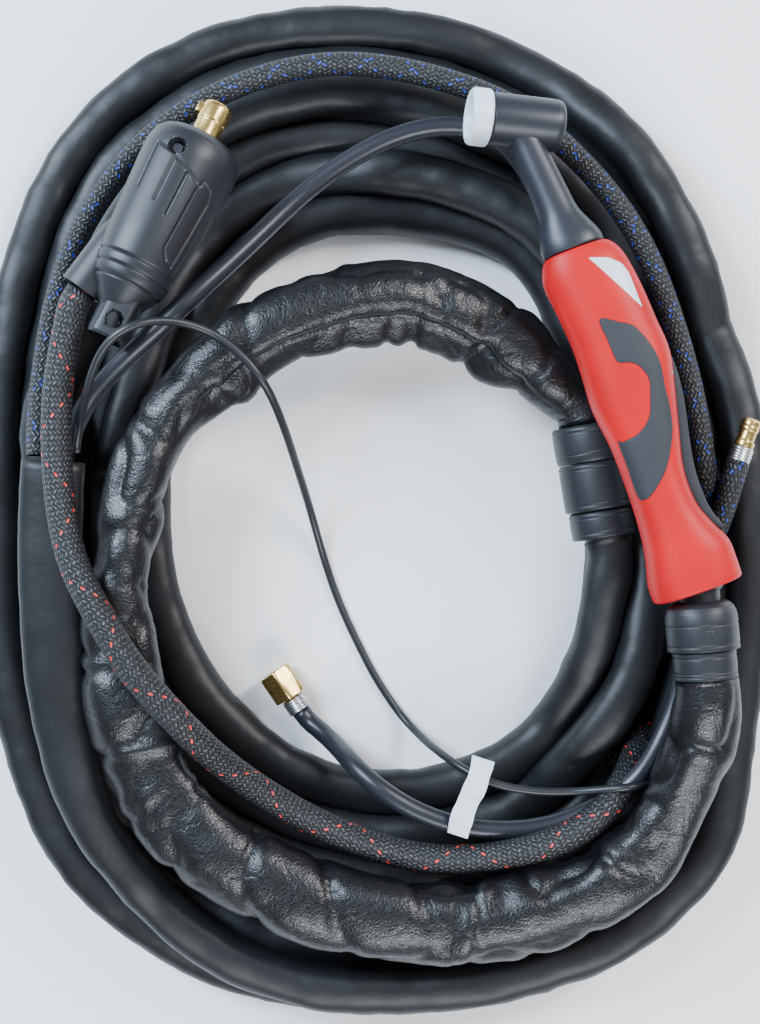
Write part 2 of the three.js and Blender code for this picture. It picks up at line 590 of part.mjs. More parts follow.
function seatRing(name, inner) {
  const profile = [
    ...arcPoints(inner, SEAT_FROM, SEAT_TO, 4),
    ...arcPoints(inner + SEAT_WALL, SEAT_TO, SEAT_FROM, 4),
  ];
  profile.push(profile[0]);
  piece(torch, name, turned(profile), 'blackPlastic');
}

function buildKnuckle() {
  seatRing('seat_ring_inner', BALL_R + GAP);
  seatRing('seat_ring_outer', BALL_R + 2 * GAP + SEAT_WALL);

  const arcStart = THREE.MathUtils.radToDeg(Math.asin(STEM_R / BALL_R));
  const arcEnd = 180 - THREE.MathUtils.radToDeg(Math.asin(BALL_BORE_R / BALL_R));
  const ball = [
    [BALL_BORE_R, -30], [STEM_R, -30], ...arcPoints(BALL_R, arcStart, arcEnd, 12), [BALL_BORE_R, -30],
  ];
  piece(collar, 'swivel_ball', turned(ball), 'blackPlastic');

  const shell = [
    [STEM_R + GAP, -15], [12, -15], [15.4, -17.2], [17.3, -21], [17.6, -26], [17.6, -39], [13, -39],
    [13, -31], [STEM_R + GAP, -31], [STEM_R + GAP, -15],
  ];
  piece(collar, 'swivel_collar', turned(shell), 'blackPlastic');
  piece(collar, 'cover_ring_front', turned(ringProfile(12, 15.4, -53, -39.3)), 'blackPlastic');
}

// ---------------------------------------------------------------- cable covers and coil

function smoothShape(points, count) {
  const curve = new THREE.CatmullRomCurve3(points.map(([x, y]) => new THREE.Vector3(x, y, 0)), true);
  return curve.getPoints(count).slice(0, count).map(({ x, y }) => new THREE.Vector2(x, y));
}

function buildCoil() {
  const outline = new THREE.Shape(smoothShape(COIL_OUTER, 44));
  outline.holes.push(new THREE.Path(smoothShape(COIL_INNER, 34)));
  const ring = new THREE.ExtrudeGeometry(outline, {
    depth: COIL_HEIGHT - 2 * COIL_ROUNDING,
    bevelEnabled: true,
    bevelThickness: COIL_ROUNDING,
    bevelSize: COIL_ROUNDING,
    bevelOffset: -COIL_ROUNDING,
    bevelSegments: 2,
  }).translate(0, 0, COIL_ROUNDING);
  const room = COUPLER_R + 1;
  const cuts = [
    solidOf(tube([...LEATHER_ROUTE.slice(-3), COUPLER_TOP], ovalShape(room, room, 14), 6)),
    solidOf(rod(room, [105.8, 56.8, 40], [118.5, -22, 40], 14)),
  ];
  piece(cablePackage, 'sleeve_coil', cut(solidOf(ring), ...cuts), 'sleeve');
  const mouthRoute = [MOUTH, ...SLEEVE_END_ROUTE];
  piece(cablePackage, 'sleeve_end', tube(mouthRoute, ovalShape(...[...SLEEVE_END_HALF].reverse(), 12), 4), 'sleeve');
}

function buildLeather() {
  const start = [0, 9].map((further) => seenFromPackage(collar, [0, -53 - GAP - further, 0]));
  const top = vector(COUPLER_TOP);
  const back = top.clone().sub(vector(COUPLER_FOOT)).normalize();
  const end = [9, GAP].map((before) => top.clone().addScaledVector(back, before).toArray());
  const route = [...start, ...LEATHER_ROUTE, ...end];
  piece(cablePackage, 'leather_cover', tube(route, ovalShape(LEATHER_R, LEATHER_R, 12), 36), 'leather');
}

function buildCoupler() {
  const top = vector(COUPLER_TOP);
  const away = vector(COUPLER_FOOT).sub(top);
  const yaw = THREE.MathUtils.radToDeg(Math.atan2(away.x, -away.y));
  const coupler = place(cablePackage, COUPLER_TOP, yaw);
  const length = away.length();
  const rings = [
    ['coupler_ring_leather', COUPLER_R, 0, 19],
    ['coupler_body', COUPLER_R - 0.5, 19 + GAP, 44],
    ['coupler_ring_sleeve', COUPLER_R - 1.9, 44 + GAP, length],
  ];
  for (const [name, radius, from, to] of rings) {
    piece(coupler, name, turned(ringProfile(13.5, radius, -to, -from)), 'blackPlastic');
  }
}

// ---------------------------------------------------------------- hoses, cable and their ends

function buildHoses() {
  const bossMouth = seenFromPackage(connector, BOSS_TO);
  const bossBack = vector(seenFromPackage(connector, BOSS_FROM));
  const outward = vector(bossMouth).sub(bossBack).normalize();
  const start = [GAP, 7].map((ahead) => vector(bossMouth).addScaledVector(outward, ahead).toArray());
  piece(cablePackage, 'red_hose', tube([...start, ...RED_ROUTE], ovalShape(RED_R, RED_R, 8), 26), 'redHose');
  piece(cablePackage, 'blue_hose', tube(BLUE_ROUTE, ovalShape(BLUE_R, BLUE_R, 8), 32), 'blueHose');
  const blueEnd = [9, 4.6].map((before) => seenFromPackage(waterEnd, [0, -before, 0]));
  const endRoute = [...BLUE_END_ROUTE, ...blueEnd];
  piece(cablePackage, 'blue_hose_end', tube(endRoute, ovalShape(BLUE_R, BLUE_R, 8), 3), 'blueHose');
  const gasStop = [10, 4.6].map((before) => seenFromPackage(gasEnd, [0, -before, 0]));
  piece(cablePackage, 'gas_hose', tube([...GAS_ROUTE, ...gasStop], ovalShape(GAS_R, GAS_R, 8), 56), 'gasHose');
  piece(cablePackage, 'switch_cable', tube(CABLE_ROUTE, ovalShape(CABLE_R, CABLE_R, 8), 60), 'cable');
  const plug = place(cablePackage, PLUG_PLACE, -8);
  piece(plug, 'switch_plug', block(PLUG_SIZE, [0, 0, 0]), 'blackPlastic');
  const tag = place(cablePackage, TAG_PLACE, TAG_YAW);
  piece(tag, 'hose_tag', block(TAG_SIZE, [0, 0, 0]), 'label');
}

// A crimped ferrule with a brass stem ahead of it, along +Y.
function buildHoseEnd(parent, prefix, ferruleR, stem) {
  piece(parent, `${prefix}_ferrule`, turned(ringProfile(3, ferruleR, -4.3, 3.5)), 'steel');
  piece(parent, `${prefix}_nipple`, turned(stem, 24), 'brass');
}

function buildHoseEnds() {
  const gasStem = [
    [1.6, 3.8], [4.2, 3.8], [4.2, 8.6], [5.4, 8.6], [5.4, 11], [3.4, 14], [1.6, 14], [1.6, 3.8],
  ];
  buildHoseEnd(gasEnd, 'gas', 6.4, gasStem);
  const nutBack = 4.6;
  const hex = new THREE.CylinderGeometry(NUT_HEX_R, NUT_HEX_R, NUT_LENGTH, 6);
  const nut = solidOf(hex.translate(0, nutBack + NUT_LENGTH / 2, 0));
  const throat = solidOf(rod(4.5, [0, 0, 0], [0, 40, 0], 24));
  const socket = solidOf(rod(NUT_BORE_R, [0, 8.3, 0], [0, 40, 0], 24));
  piece(gasEnd, 'gas_union_nut', cut(nut, throat, socket), 'brass');

  const waterStem = [
    [2, 3.8], [5.2, 3.8], [5.2, 6.6], [4.4, 7.2], [4.4, 12], [5, 12.4], [5, 17], [3.6, 18.4],
    [2, 18.4], [2, 3.8],
  ];
  buildHoseEnd(waterEnd, 'water', 5.9, waterStem);
}

// ---------------------------------------------------------------- power connector

function buildConnector() {
  const bossRod = solidOf(rod(BOSS_R, BOSS_FROM, BOSS_TO, 24));
  const bossRoot = solidOf(new THREE.SphereGeometry(BOSS_R, 24, 12).translate(...BOSS_FROM));
  const tail = solidOf(block(TAIL_SIZE, TAIL_PLACE));
  const outside = join(solidOf(turned(SHELL_PROFILE)), bossRod, bossRoot, tail);
  const pinRoom = solidOf(rod(PIN_PLUG_R + GAP, [0, INSERT_END - GAP, 0], [0, 40, 0], 24));
  const sink = ([x, y, top]) => solidOf(rod(2.9, [x, y, top - SHELL_SCREW_DEPTH], [x, y, 40], 16));
  piece(connector, 'connector_shell', cut(outside, pinRoom, ...SHELL_SCREWS.map(sink)), 'blackPlastic');

  SHELL_SCREWS.forEach(([x, y, top], i) => {
    const floor = top - SHELL_SCREW_DEPTH + GAP;
    piece(connector, `connector_screw_${i + 1}`, rod(2.5, [x, y, floor], [x, y, floor + 2.4], 12), 'steel');
  });

  const pinProfile = [
    [0, INSERT_END], [PIN_PLUG_R, INSERT_END], [PIN_PLUG_R, PIN_PLUG_END - 1.4],
    [PIN_PLUG_R - 1.4, PIN_PLUG_END], [0, PIN_PLUG_END],
  ];
  const lug = block([3.4, 5.5, 4.6], [-PIN_PLUG_R - 0.4, PIN_PLUG_END - 5.5, 1.5]);
  const drive = block([1.6, 2, 10], [0, PIN_PLUG_END, 0]);
  const pin = cut(join(solidOf(turned(pinProfile)), solidOf(lug)), solidOf(drive));
  piece(connector, 'connector_pin', pin, 'brass');
}

// ---------------------------------------------------------------- the whole object

buildHead();
buildGasket();
buildHandle();
buildInnerHoses();
buildTrigger();
buildKnuckle();
buildCoil();
buildLeather();
buildCoupler();
buildHoses();
buildHoseEnds();
buildConnector();

export default group;
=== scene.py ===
"""Looks of a water-cooled TIG torch lying on its coiled cable package.

Cords are laid out in millimetres from the coil's middle; the torch, collar, coupler, connector and hose
ends each have their own millimetre frame, with +Y along the piece. Everything is turned into the CAD's
frame, in metres, when its mesh is made. The routes on top of the coil repeat the CAD part's.
"""

import math

import bmesh
import bpy
import numpy as np
from mathutils import Matrix, Vector, geometry, noise


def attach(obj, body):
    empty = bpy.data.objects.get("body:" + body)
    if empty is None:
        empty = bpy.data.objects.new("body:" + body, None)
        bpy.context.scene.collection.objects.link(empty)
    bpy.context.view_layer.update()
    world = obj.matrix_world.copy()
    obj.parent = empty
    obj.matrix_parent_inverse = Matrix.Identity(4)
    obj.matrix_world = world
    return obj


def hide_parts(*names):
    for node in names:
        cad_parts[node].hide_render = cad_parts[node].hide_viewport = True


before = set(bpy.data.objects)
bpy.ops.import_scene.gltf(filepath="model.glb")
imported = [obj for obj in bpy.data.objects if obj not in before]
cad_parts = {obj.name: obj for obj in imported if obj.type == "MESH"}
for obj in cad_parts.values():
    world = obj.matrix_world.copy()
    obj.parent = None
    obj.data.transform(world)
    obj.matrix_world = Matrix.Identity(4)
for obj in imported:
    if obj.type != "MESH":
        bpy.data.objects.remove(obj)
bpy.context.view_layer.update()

MM = 0.001
RANDOM = np.random.default_rng(18)

# ---------------------------------------------------------------- places

PACKAGE = Matrix.Scale(MM, 4) @ Matrix.Translation((-165, -20, 0))
COUPLER_TOP = (107.7, 45, 40)
COUPLER_FOOT = (117, -12.9, 40)
COUPLER_R = 19.3


def place(parent, origin, yaw, lift=0):
    turn = Matrix.Rotation(math.radians(yaw), 4, "Z") @ Matrix.Rotation(math.radians(lift), 4, "X")
    return parent @ Matrix.Translation(origin) @ turn


TORCH = place(PACKAGE, (154.6, -28.3, 87), 19.7)
COLLAR = place(PACKAGE, (154.6, -28.3, 87), 5)
COUPLER = place(PACKAGE, COUPLER_TOP, math.degrees(math.atan2(9.3, 57.9)))
CONNECTOR = place(PACKAGE, (-92.5, 175, 77), -25.5, -9)
GAS = place(PACKAGE, (-45.2, -102.8, 10.6), 34)
WATER = place(PACKAGE, (182.8, 29.5, 56.8), -19)
TAG = place(PACKAGE, (45.6, -143.6, 62.2), -18)
PLUG = place(PACKAGE, (171.5, -97.5, 55), -8)
BARREL = place(TORCH, (-6.8, 234.5, 0), 66, 9)


def in_package(matrix, point):
    """A point of another frame, seen from the cable package, in millimetres."""
    return tuple(PACKAGE.inverted() @ (matrix @ Vector(point)))


# ---------------------------------------------------------------- camera, lights and floor


def add_camera():
    data = bpy.data.cameras.new("camera")
    data.lens = 55
    camera = bpy.data.objects.new("camera", data)
    camera.location = PACKAGE @ Vector((0, 0, 850))
    bpy.context.scene.collection.objects.link(camera)
    bpy.context.scene.camera = camera


def add_light(name, location, size, energy, color=(1, 1, 1)):
    data = bpy.data.lights.new(name, "AREA")
    data.shape = "RECTANGLE"
    data.size, data.size_y = size
    data.energy = energy
    data.color = color
    light = bpy.data.objects.new(name, data)
    light.location = location
    toward = PACKAGE @ Vector((0, 0, 30)) - Vector(location)
    light.rotation_euler = toward.to_track_quat("-Z", "Y").to_euler()
    bpy.context.scene.collection.objects.link(light)


def add_stage():
    bpy.ops.mesh.primitive_plane_add(size=6, location=(0, 0, 0))
    floor = bpy.context.object
    floor.name = "floor"
    shade = new_material("floor_paper", (0.96, 0.965, 0.97), 0.9)
    grain = noise_value(shade, 90, 3)
    connect(shade, mix_color(shade, grain, (0.95, 0.955, 0.96), (0.985, 0.988, 0.99)), "Base Color")
    floor.data.materials.append(shade)
    world = bpy.data.worlds.new("studio")
    world.use_nodes = True
    background = world.node_tree.nodes["Background"]
    background.inputs["Color"].default_value = (0.93, 0.96, 1, 1)
    background.inputs["Strength"].default_value = 0.34
    bpy.context.scene.world = world
    add_light("window_left", (-1.3, 0.75, 1.25), (0.5, 1.3), 78, (0.66, 0.82, 1))
    add_light("window_right", (0.9, 0.75, 1.2), (0.3, 0.9), 32, (0.96, 0.98, 1))
    add_light("softbox", (0.1, -1.2, 1.2), (1.2, 0.35), 30, (0.9, 0.95, 1))


# ---------------------------------------------------------------- materials


def new_material(name, color, roughness, **sockets):
    made = bpy.data.materials.new(name)
    made.use_nodes = True
    inputs = made.node_tree.nodes["Principled BSDF"].inputs
    inputs["Base Color"].default_value = (*color, 1)
    inputs["Roughness"].default_value = roughness
    for socket, value in sockets.items():
        inputs[socket.replace("_", " ")].default_value = value
    return made


def node(shade, kind, inputs=None, **settings):
    made = shade.node_tree.nodes.new("ShaderNode" + kind)
    for key, value in settings.items():
        setattr(made, key, value)
    for key, value in (inputs or {}).items():
        if isinstance(value, bpy.types.NodeSocket):
            shade.node_tree.links.new(value, made.inputs[key])
        else:
            made.inputs[key].default_value = value
    return made


def connect(shade, output, socket):
    shade.node_tree.links.new(output, shade.node_tree.nodes["Principled BSDF"].inputs[socket])


def math_node(shade, operation, *values):
    return node(shade, "Math", dict(enumerate(values)), operation=operation).outputs[0]


def mix_color(shade, factor, first, second):
    made = node(shade, "Mix", {0: factor}, data_type="RGBA")
    for index, value in ((6, first), (7, second)):
        if isinstance(value, bpy.types.NodeSocket):
            shade.node_tree.links.new(value, made.inputs[index])
        else:
            made.inputs[index].default_value = (*value, 1)
    return made.outputs[2]


def object_point(shade):
    return node(shade, "TexCoord").outputs["Object"]


def noise_value(shade, scale, detail=3, roughness=0.5, vector=None):
    vector = vector or object_point(shade)
    inputs = {"Vector": vector, "Scale": scale, "Detail": detail, "Roughness": roughness}
    return node(shade, "TexNoise", inputs).outputs["Fac"]


def cell_edges(shade, vector, scale):
    inputs = {"Vector": vector, "Scale": scale}
    return node(shade, "TexVoronoi", inputs, feature="DISTANCE_TO_EDGE").outputs["Distance"]


def ramp(shade, value, low, high):
    made = node(shade, "ValToRGB", {"Fac": value})
    made.color_ramp.elements[0].position = low
    made.color_ramp.elements[1].position = high
    return made.outputs["Color"]


def bump(shade, height, distance, strength=1.0, over=None):
    inputs = {"Height": height, "Distance": distance, "Strength": strength}
    if over is not None:
        inputs["Normal"] = over
    return node(shade, "Bump", inputs).outputs["Normal"]


def varied_roughness(shade, value, low, high):
    made = node(shade, "MapRange", {"Value": value, "To Min": low, "To Max": high})
    connect(shade, made.outputs["Result"], "Roughness")


def darker(color, share):
    return tuple(c * share for c in color)


def moulded(name, color, roughness, grain=1400, depth=0.00006, dust=0.12, **sockets):
    """Moulded plastic or rubber: a fine grain, uneven gloss and a little dust."""
    shade = new_material(name, color, roughness, **sockets)
    fine = noise_value(shade, grain, 2)
    broad = noise_value(shade, 38, 4)
    lighter = tuple(min(1, c * 1.3 + 0.012) for c in color)
    specks = ramp(shade, noise_value(shade, 520, 6, 0.7), 0.62, 0.74)
    body = mix_color(shade, ramp(shade, broad, 0.35, 0.75), color, darker(color, 0.82))
    dusted = math_node(shade, "MULTIPLY", specks, dust)
    connect(shade, mix_color(shade, dusted, body, lighter), "Base Color")
    varied_roughness(shade, broad, roughness - 0.08, roughness + 0.1)
    connect(shade, bump(shade, fine, depth, 0.6), "Normal")
    return shade


def metal(name, color, roughness, scratch=900):
    shade = new_material(name, color, roughness, Metallic=1)
    stretched = node(shade, "Mapping", {"Vector": object_point(shade), "Scale": (1, 1, 0.12)})
    lines = noise_value(shade, scratch, 3, 0.6, stretched.outputs["Vector"])
    tarnish = ramp(shade, noise_value(shade, 120, 4), 0.42, 0.7)
    connect(shade, mix_color(shade, tarnish, color, darker(color, 0.72)), "Base Color")
    varied_roughness(shade, lines, roughness - 0.06, roughness + 0.16)
    connect(shade, bump(shade, lines, 0.00002, 0.5), "Normal")
    return shade


def leather_material():
    shade = new_material("leather", (0.004, 0.0045, 0.006), 0.3, Specular_IOR_Level=0.55)
    point = object_point(shade)
    warp = node(shade, "TexNoise", {"Vector": point, "Scale": 300, "Detail": 2})
    bent = node(shade, "Mix", {0: 0.003}, data_type="RGBA")
    shade.node_tree.links.new(point, bent.inputs[6])
    shade.node_tree.links.new(warp.outputs["Color"], bent.inputs[7])
    pebble = ramp(shade, cell_edges(shade, bent.outputs[2], 540), 0.0, 0.3)
    wrinkle = ramp(shade, cell_edges(shade, point, 62), 0.0, 0.12)
    grain = bump(shade, pebble, 0.0002, 0.4)
    creased = bump(shade, wrinkle, 0.0006, 0.2, grain)
    connect(shade, bump(shade, noise_value(shade, 40, 3, 0.4), 0.003, 0.3, creased), "Normal")
    # Painted light: the pebble tops are painted lighter in noisy patches as a painted highlight, and the
    # hollows between pebbles are left darker as painted shade.
    painted_pebble_highlight = math_node(shade, "MULTIPLY", pebble, ramp(shade, noise_value(shade, 60, 5), 0.45, 0.8))
    connect(shade, mix_color(shade, painted_pebble_highlight, (0.002, 0.0023, 0.0035), (0.005, 0.006, 0.009)), "Base Color")
    varied_roughness(shade, pebble, 0.42, 0.3)
    return shade


def sleeve_material():
    shade = new_material("sleeve", (0.009, 0.0095, 0.0105), 0.45, Specular_IOR_Level=0.38)
    point = object_point(shade)
    broad = noise_value(shade, 22, 4, 0.55, point)
    fine = noise_value(shade, 900, 3, 0.6, point)
    lint = ramp(shade, noise_value(shade, 1500, 8, 0.8, point), 0.69, 0.75)
    body = mix_color(shade, ramp(shade, broad, 0.3, 0.75), (0.0055, 0.006, 0.007), (0.01, 0.011, 0.0135))
    linted = math_node(shade, "MULTIPLY", lint, 0.3)
    connect(shade, mix_color(shade, linted, body, (0.13, 0.135, 0.14)), "Base Color")
    varied_roughness(shade, broad, 0.38, 0.56)
    soft = bump(shade, broad, 0.0024, 0.6)
    connect(shade, bump(shade, fine, 0.00005, 0.5, soft), "Normal")
    return shade


def braid_material(name, around, strands, tracer_color, every):
    """A braided cover from the tube's UV map, in millimetres along and around."""
    shade = new_material(name, (0.02, 0.02, 0.023), 0.4)
    uv = node(shade, "SeparateXYZ", {"Vector": node(shade, "UVMap", uv_map="UVMap").outputs["UV"]})
    per_mm = strands / around
    along = math_node(shade, "MULTIPLY", uv.outputs["X"], per_mm * 0.8)
    across = math_node(shade, "MULTIPLY", uv.outputs["Y"], per_mm)
    families = [math_node(shade, "ADD", along, across), math_node(shade, "SUBTRACT", along, across)]
    cells = [math_node(shade, "FLOOR", f) for f in families]
    beads, tracers = [], []
    for cell, own, other, side in zip(cells, families, families[::-1], (math.pi / 2, -math.pi / 2)):
        half_turns = math_node(shade, "MULTIPLY", own, math.pi)
        ridge = math_node(shade, "ABSOLUTE", math_node(shade, "SINE", half_turns))
        wave = math_node(shade, "MULTIPLY", math_node(shade, "ADD", cell, other), side)
        bow = math_node(shade, "MAXIMUM", math_node(shade, "SINE", wave), 0.0)
        bead = math_node(shade, "MULTIPLY", ridge, bow)
        turn = math_node(shade, "LESS_THAN", math_node(shade, "FLOORED_MODULO", cell, float(every)), 0.5)
        beads.append(bead)
        tracers.append(math_node(shade, "MULTIPLY", turn, ramp(shade, bead, 0.3, 0.55)))
    height = math_node(shade, "MAXIMUM", *beads)
    marked = math_node(shade, "MAXIMUM", *tracers)
    # Painted light: the bead tops are painted lighter as a glint and the valleys between strands darker as
    # painted shade; the light flecks are painted highlights on the glints.
    glint = math_node(shade, "POWER", height, 3.0)
    thread = mix_color(shade, glint, (0.001, 0.001, 0.0014), (0.03, 0.033, 0.04))
    painted_glint_fleck = ramp(shade, noise_value(shade, 700, 2), 0.52, 0.62)
    painted_glint_fleck = math_node(shade, "MULTIPLY", painted_glint_fleck, math_node(shade, "MULTIPLY", glint, 0.6))
    thread = mix_color(shade, painted_glint_fleck, thread, (0.16, 0.17, 0.2))
    connect(shade, mix_color(shade, marked, thread, tracer_color), "Base Color")
    varied_roughness(shade, height, 0.65, 0.34)
    connect(shade, bump(shade, height, 0.0004, 0.9), "Normal")
    return shade


# ---------------------------------------------------------------- meshes

SHARP_ANGLE = math.radians(42)

piece = {}


def mesh_object(name, vertices, faces, shade, matrix, stands_for=(), body="cable_set"):
    """A mesh that rides on a body; the CAD parts it stands for are hidden."""
    data = bpy.data.meshes.new(name)
    data.from_pydata([matrix @ Vector(v) for v in vertices], [], faces)
    build = bmesh.new()
    build.from_mesh(data)
    bmesh.ops.remove_doubles(build, verts=build.verts, dist=0.000004)
    bmesh.ops.recalc_face_normals(build, faces=build.faces)
    build.to_mesh(data)
    build.free()
    made = bpy.data.objects.new(name, data)
    bpy.context.scene.collection.objects.link(made)
    data.materials.append(shade)
    data.polygons.foreach_set("use_smooth", [True] * len(data.polygons))
    data.set_sharp_from_angle(angle=SHARP_ANGLE)
    bpy.context.view_layer.update()
    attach(made, body)
    if stands_for:
        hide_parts(*stands_for)
    piece[name] = made
    return made


def grid_faces(rows, columns, wrap=True, first=0):
    faces = []
    for i in range(rows - 1):
        for j in range(columns if wrap else columns - 1):
            k = (j + 1) % columns
            a = first + i * columns
            faces.append((a + j, a + k, a + columns + k, a + columns + j))
    return faces


def soften(profile, size=0.5, steps=3):
    """A turned profile with its corners rounded."""
    p = [Vector(q) for q in profile]
    made = [p[0]]
    for before, corner, after in zip(p, p[1:], p[2:]):
        back, ahead = before - corner, after - corner
        cut = min(size, 0.45 * back.length, 0.45 * ahead.length)
        if back.angle(-ahead, 0) < math.radians(12) or cut < 0.02:
            made.append(corner)
            continue
        start = corner + back.normalized() * cut
        stop = corner + ahead.normalized() * cut
        for i in range(steps + 1):
            t = i / steps
            made.append(start * (1 - t) ** 2 + corner * 2 * t * (1 - t) + stop * t * t)
    return [*made, p[-1]]


def turned_rows(profile, sides=72, radius=None):
    """Rows of a piece turned about +Y; radius(r, angle) may change the radius, angle from +Z."""
    rows = []
    for r, y in profile:
        row = []
        for j in range(sides):
            angle = 2 * math.pi * j / sides
            here = radius(r, angle) if radius else r
            row.append((here * math.sin(angle), y, here * math.cos(angle)))
        rows.append(row)
    return rows


def rows_object(name, sets, shade, matrix, stands_for=(), body="cable_set", capped=False):
    """One mesh from several sets of closed rows."""
    vertices, faces = [], []
    for rows in sets:
        first, columns = len(vertices), len(rows[0])
        faces += grid_faces(len(rows), columns, True, first)
        if capped:
            last = first + (len(rows) - 1) * columns
            faces += [tuple(range(first, first + columns)), tuple(range(last, last + columns))]
        vertices += [point for row in rows for point in row]
    return mesh_object(name, vertices, faces, shade, matrix, stands_for, body)


def turned(name, profile, shade, matrix, stands_for, size=0.5, sides=72, body="cable_set"):
    return rows_object(name, [turned_rows(soften(profile, size), sides)], shade, matrix, stands_for, body)


def smooth_route(points, step, closed=False):
    """Points a step apart on a Catmull-Rom curve through the given ones."""
    p = np.array(points, float)
    if closed:
        q = np.vstack([p[-1:], p, p[:2]])
    else:
        q = np.vstack([2 * p[0] - p[1], p, 2 * p[-1] - p[-2]])
    t = np.linspace(0, 1, 24, endpoint=False)[:, None]
    pieces = []
    for a, b, c, d in zip(q[:-3], q[1:-2], q[2:-1], q[3:]):
        cubic = (3 * b - a - 3 * c + d) * t**3 + (2 * a - 5 * b + 4 * c - d) * t * t
        pieces.append(0.5 * (2 * b + (c - a) * t + cubic))
    dense = np.vstack([*pieces, q[-2:-1]])
    travelled = np.r_[0, np.cumsum(np.linalg.norm(np.diff(dense, axis=0), axis=1))]
    count = max(2, round(travelled[-1] / step) + 1)
    stops = np.linspace(0, travelled[-1], count)
    made = np.stack([np.interp(stops, travelled, dense[:, k]) for k in range(p.shape[1])], 1)
    return made[:-1] if closed else made


def length_of(route):
    return float(np.linalg.norm(np.diff(route, axis=0), axis=1).sum())


def unit(vectors):
    return vectors / np.maximum(np.linalg.norm(vectors, axis=-1, keepdims=True), 1e-9)


def tube_frames(route):
    """Sideways and upward directions along a route that stay level with the floor where they can."""
    forward = unit(np.gradient(route, axis=0))
    up = np.tile([0.0, 0.0, 1.0], (len(route), 1))
    up -= forward * (up * forward).sum(1, keepdims=True)
    for i in range(1, len(route)):
        carried = up[i - 1] - forward[i] * np.dot(up[i - 1], forward[i])
        weight = min(1.0, max(0.0, (abs(forward[i, 2]) - 0.6) / 0.3))
        up[i] = unit(unit(up[i]) * (1 - weight) + unit(carried) * weight)
    side = unit(np.cross(forward, up))
    return side, unit(np.cross(side, forward))


def tube(name, route, section, shade, stands_for, sides=24, hollow_end=0):
    """A tube along a route in package millimetres; section(s, angle) gives sideways and upward offsets."""
    side, up = tube_frames(route)
    travelled = np.r_[0, np.cumsum(np.linalg.norm(np.diff(route, axis=0), axis=1))]
    angles = np.linspace(0, 2 * np.pi, sides, endpoint=False)
    across, high = section(travelled[:, None], angles[None, :])
    rings = route[:, None, :] + side[:, None, :] * across[..., None] + up[:, None, :] * high[..., None]
    if hollow_end:
        inward = [rings[-1] * 0.94 + route[-1] * 0.06]
        for back in range(1, hollow_end):
            inward.append(route[-1 - back] + (rings[-1 - back] - route[-1 - back]) * 0.9)
        rings = np.concatenate([rings, np.array(inward)])
        travelled = np.r_[travelled, travelled[-1] + np.arange(1, len(inward) + 1) * 3]
    count = len(rings)
    faces = grid_faces(count, sides)
    faces += [tuple(range(sides)), tuple(range((count - 1) * sides, count * sides))]
    data = bpy.data.meshes.new(name)
    data.from_pydata([PACKAGE @ Vector(v) for v in rings.reshape(-1, 3)], [], faces)
    girth = float(np.linalg.norm(rings[0] - np.roll(rings[0], 1, axis=0), axis=1).sum())
    i = np.repeat(np.arange(count - 1), sides)
    j = np.tile(np.arange(sides), count - 1)
    low, high_side = girth * j / sides, girth * (j + 1) / sides
    here, there = travelled[i], travelled[i + 1]
    corners = np.stack([here, low, here, high_side, there, high_side, there, low], 1).reshape(-1, 2)
    coordinates = np.zeros((len(data.loops), 2), np.float32)
    coordinates[: len(corners)] = corners
    data.uv_layers.new(name="UVMap").data.foreach_set("uv", coordinates.ravel())
    data.polygons.foreach_set("use_smooth", [True] * len(data.polygons))
    made = bpy.data.objects.new(name, data)
    bpy.context.scene.collection.objects.link(made)
    data.materials.append(shade)
    bpy.context.view_layer.update()
    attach(made, "cable_set")
    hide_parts(*stands_for)
    return made


def block_parts(size, centre, rounding):
    build = bmesh.new()
    bmesh.ops.create_cube(build, size=1)
    bmesh.ops.scale(build, vec=size, verts=build.verts)
    edges = list(build.edges)
    bmesh.ops.bevel(build, geom=edges, offset=rounding, segments=3, profile=0.5, affect="EDGES")
    vertices = [tuple(v.co + Vector(centre)) for v in build.verts]
    faces = [tuple(v.index for v in f.verts) for f in build.faces]
    build.free()
    return vertices, faces


def rounded_block(name, size, centre, rounding, shade, matrix, stands_for=()):
    return mesh_object(name, *block_parts(size, centre, rounding), shade, matrix, stands_for)


def hump(value, middle, width):
    return np.exp(-(((value - middle) / width) ** 2))


def bulge(value, squareness):
    return math.copysign(abs(value) ** (2 / squareness), value)


def along(table, at, column):
    """One column of a table of sections, interpolated smoothly at a place along it."""
    last = len(table) - 1
    i = next((k for k, row in enumerate(table) if row[0] >= at), last)
    i = max(i, 1)
    p0, p1, p2, p3 = (table[min(max(k, 0), last)] for k in (i - 2, i - 1, i, i + 1))
    t = min(max((at - p1[0]) / (p2[0] - p1[0]), 0), 1)
    m1 = (p2[column] - p0[column]) / (p2[0] - p0[0]) * (p2[0] - p1[0])
    m2 = (p3[column] - p1[column]) / (p3[0] - p1[0]) * (p2[0] - p1[0])
    h = t * t * (3 - 2 * t)
    return (1 - h) * p1[column] + t * (1 - t) ** 2 * m1 + h * p2[column] - t * t * (1 - t) * m2


# ---------------------------------------------------------------- handle

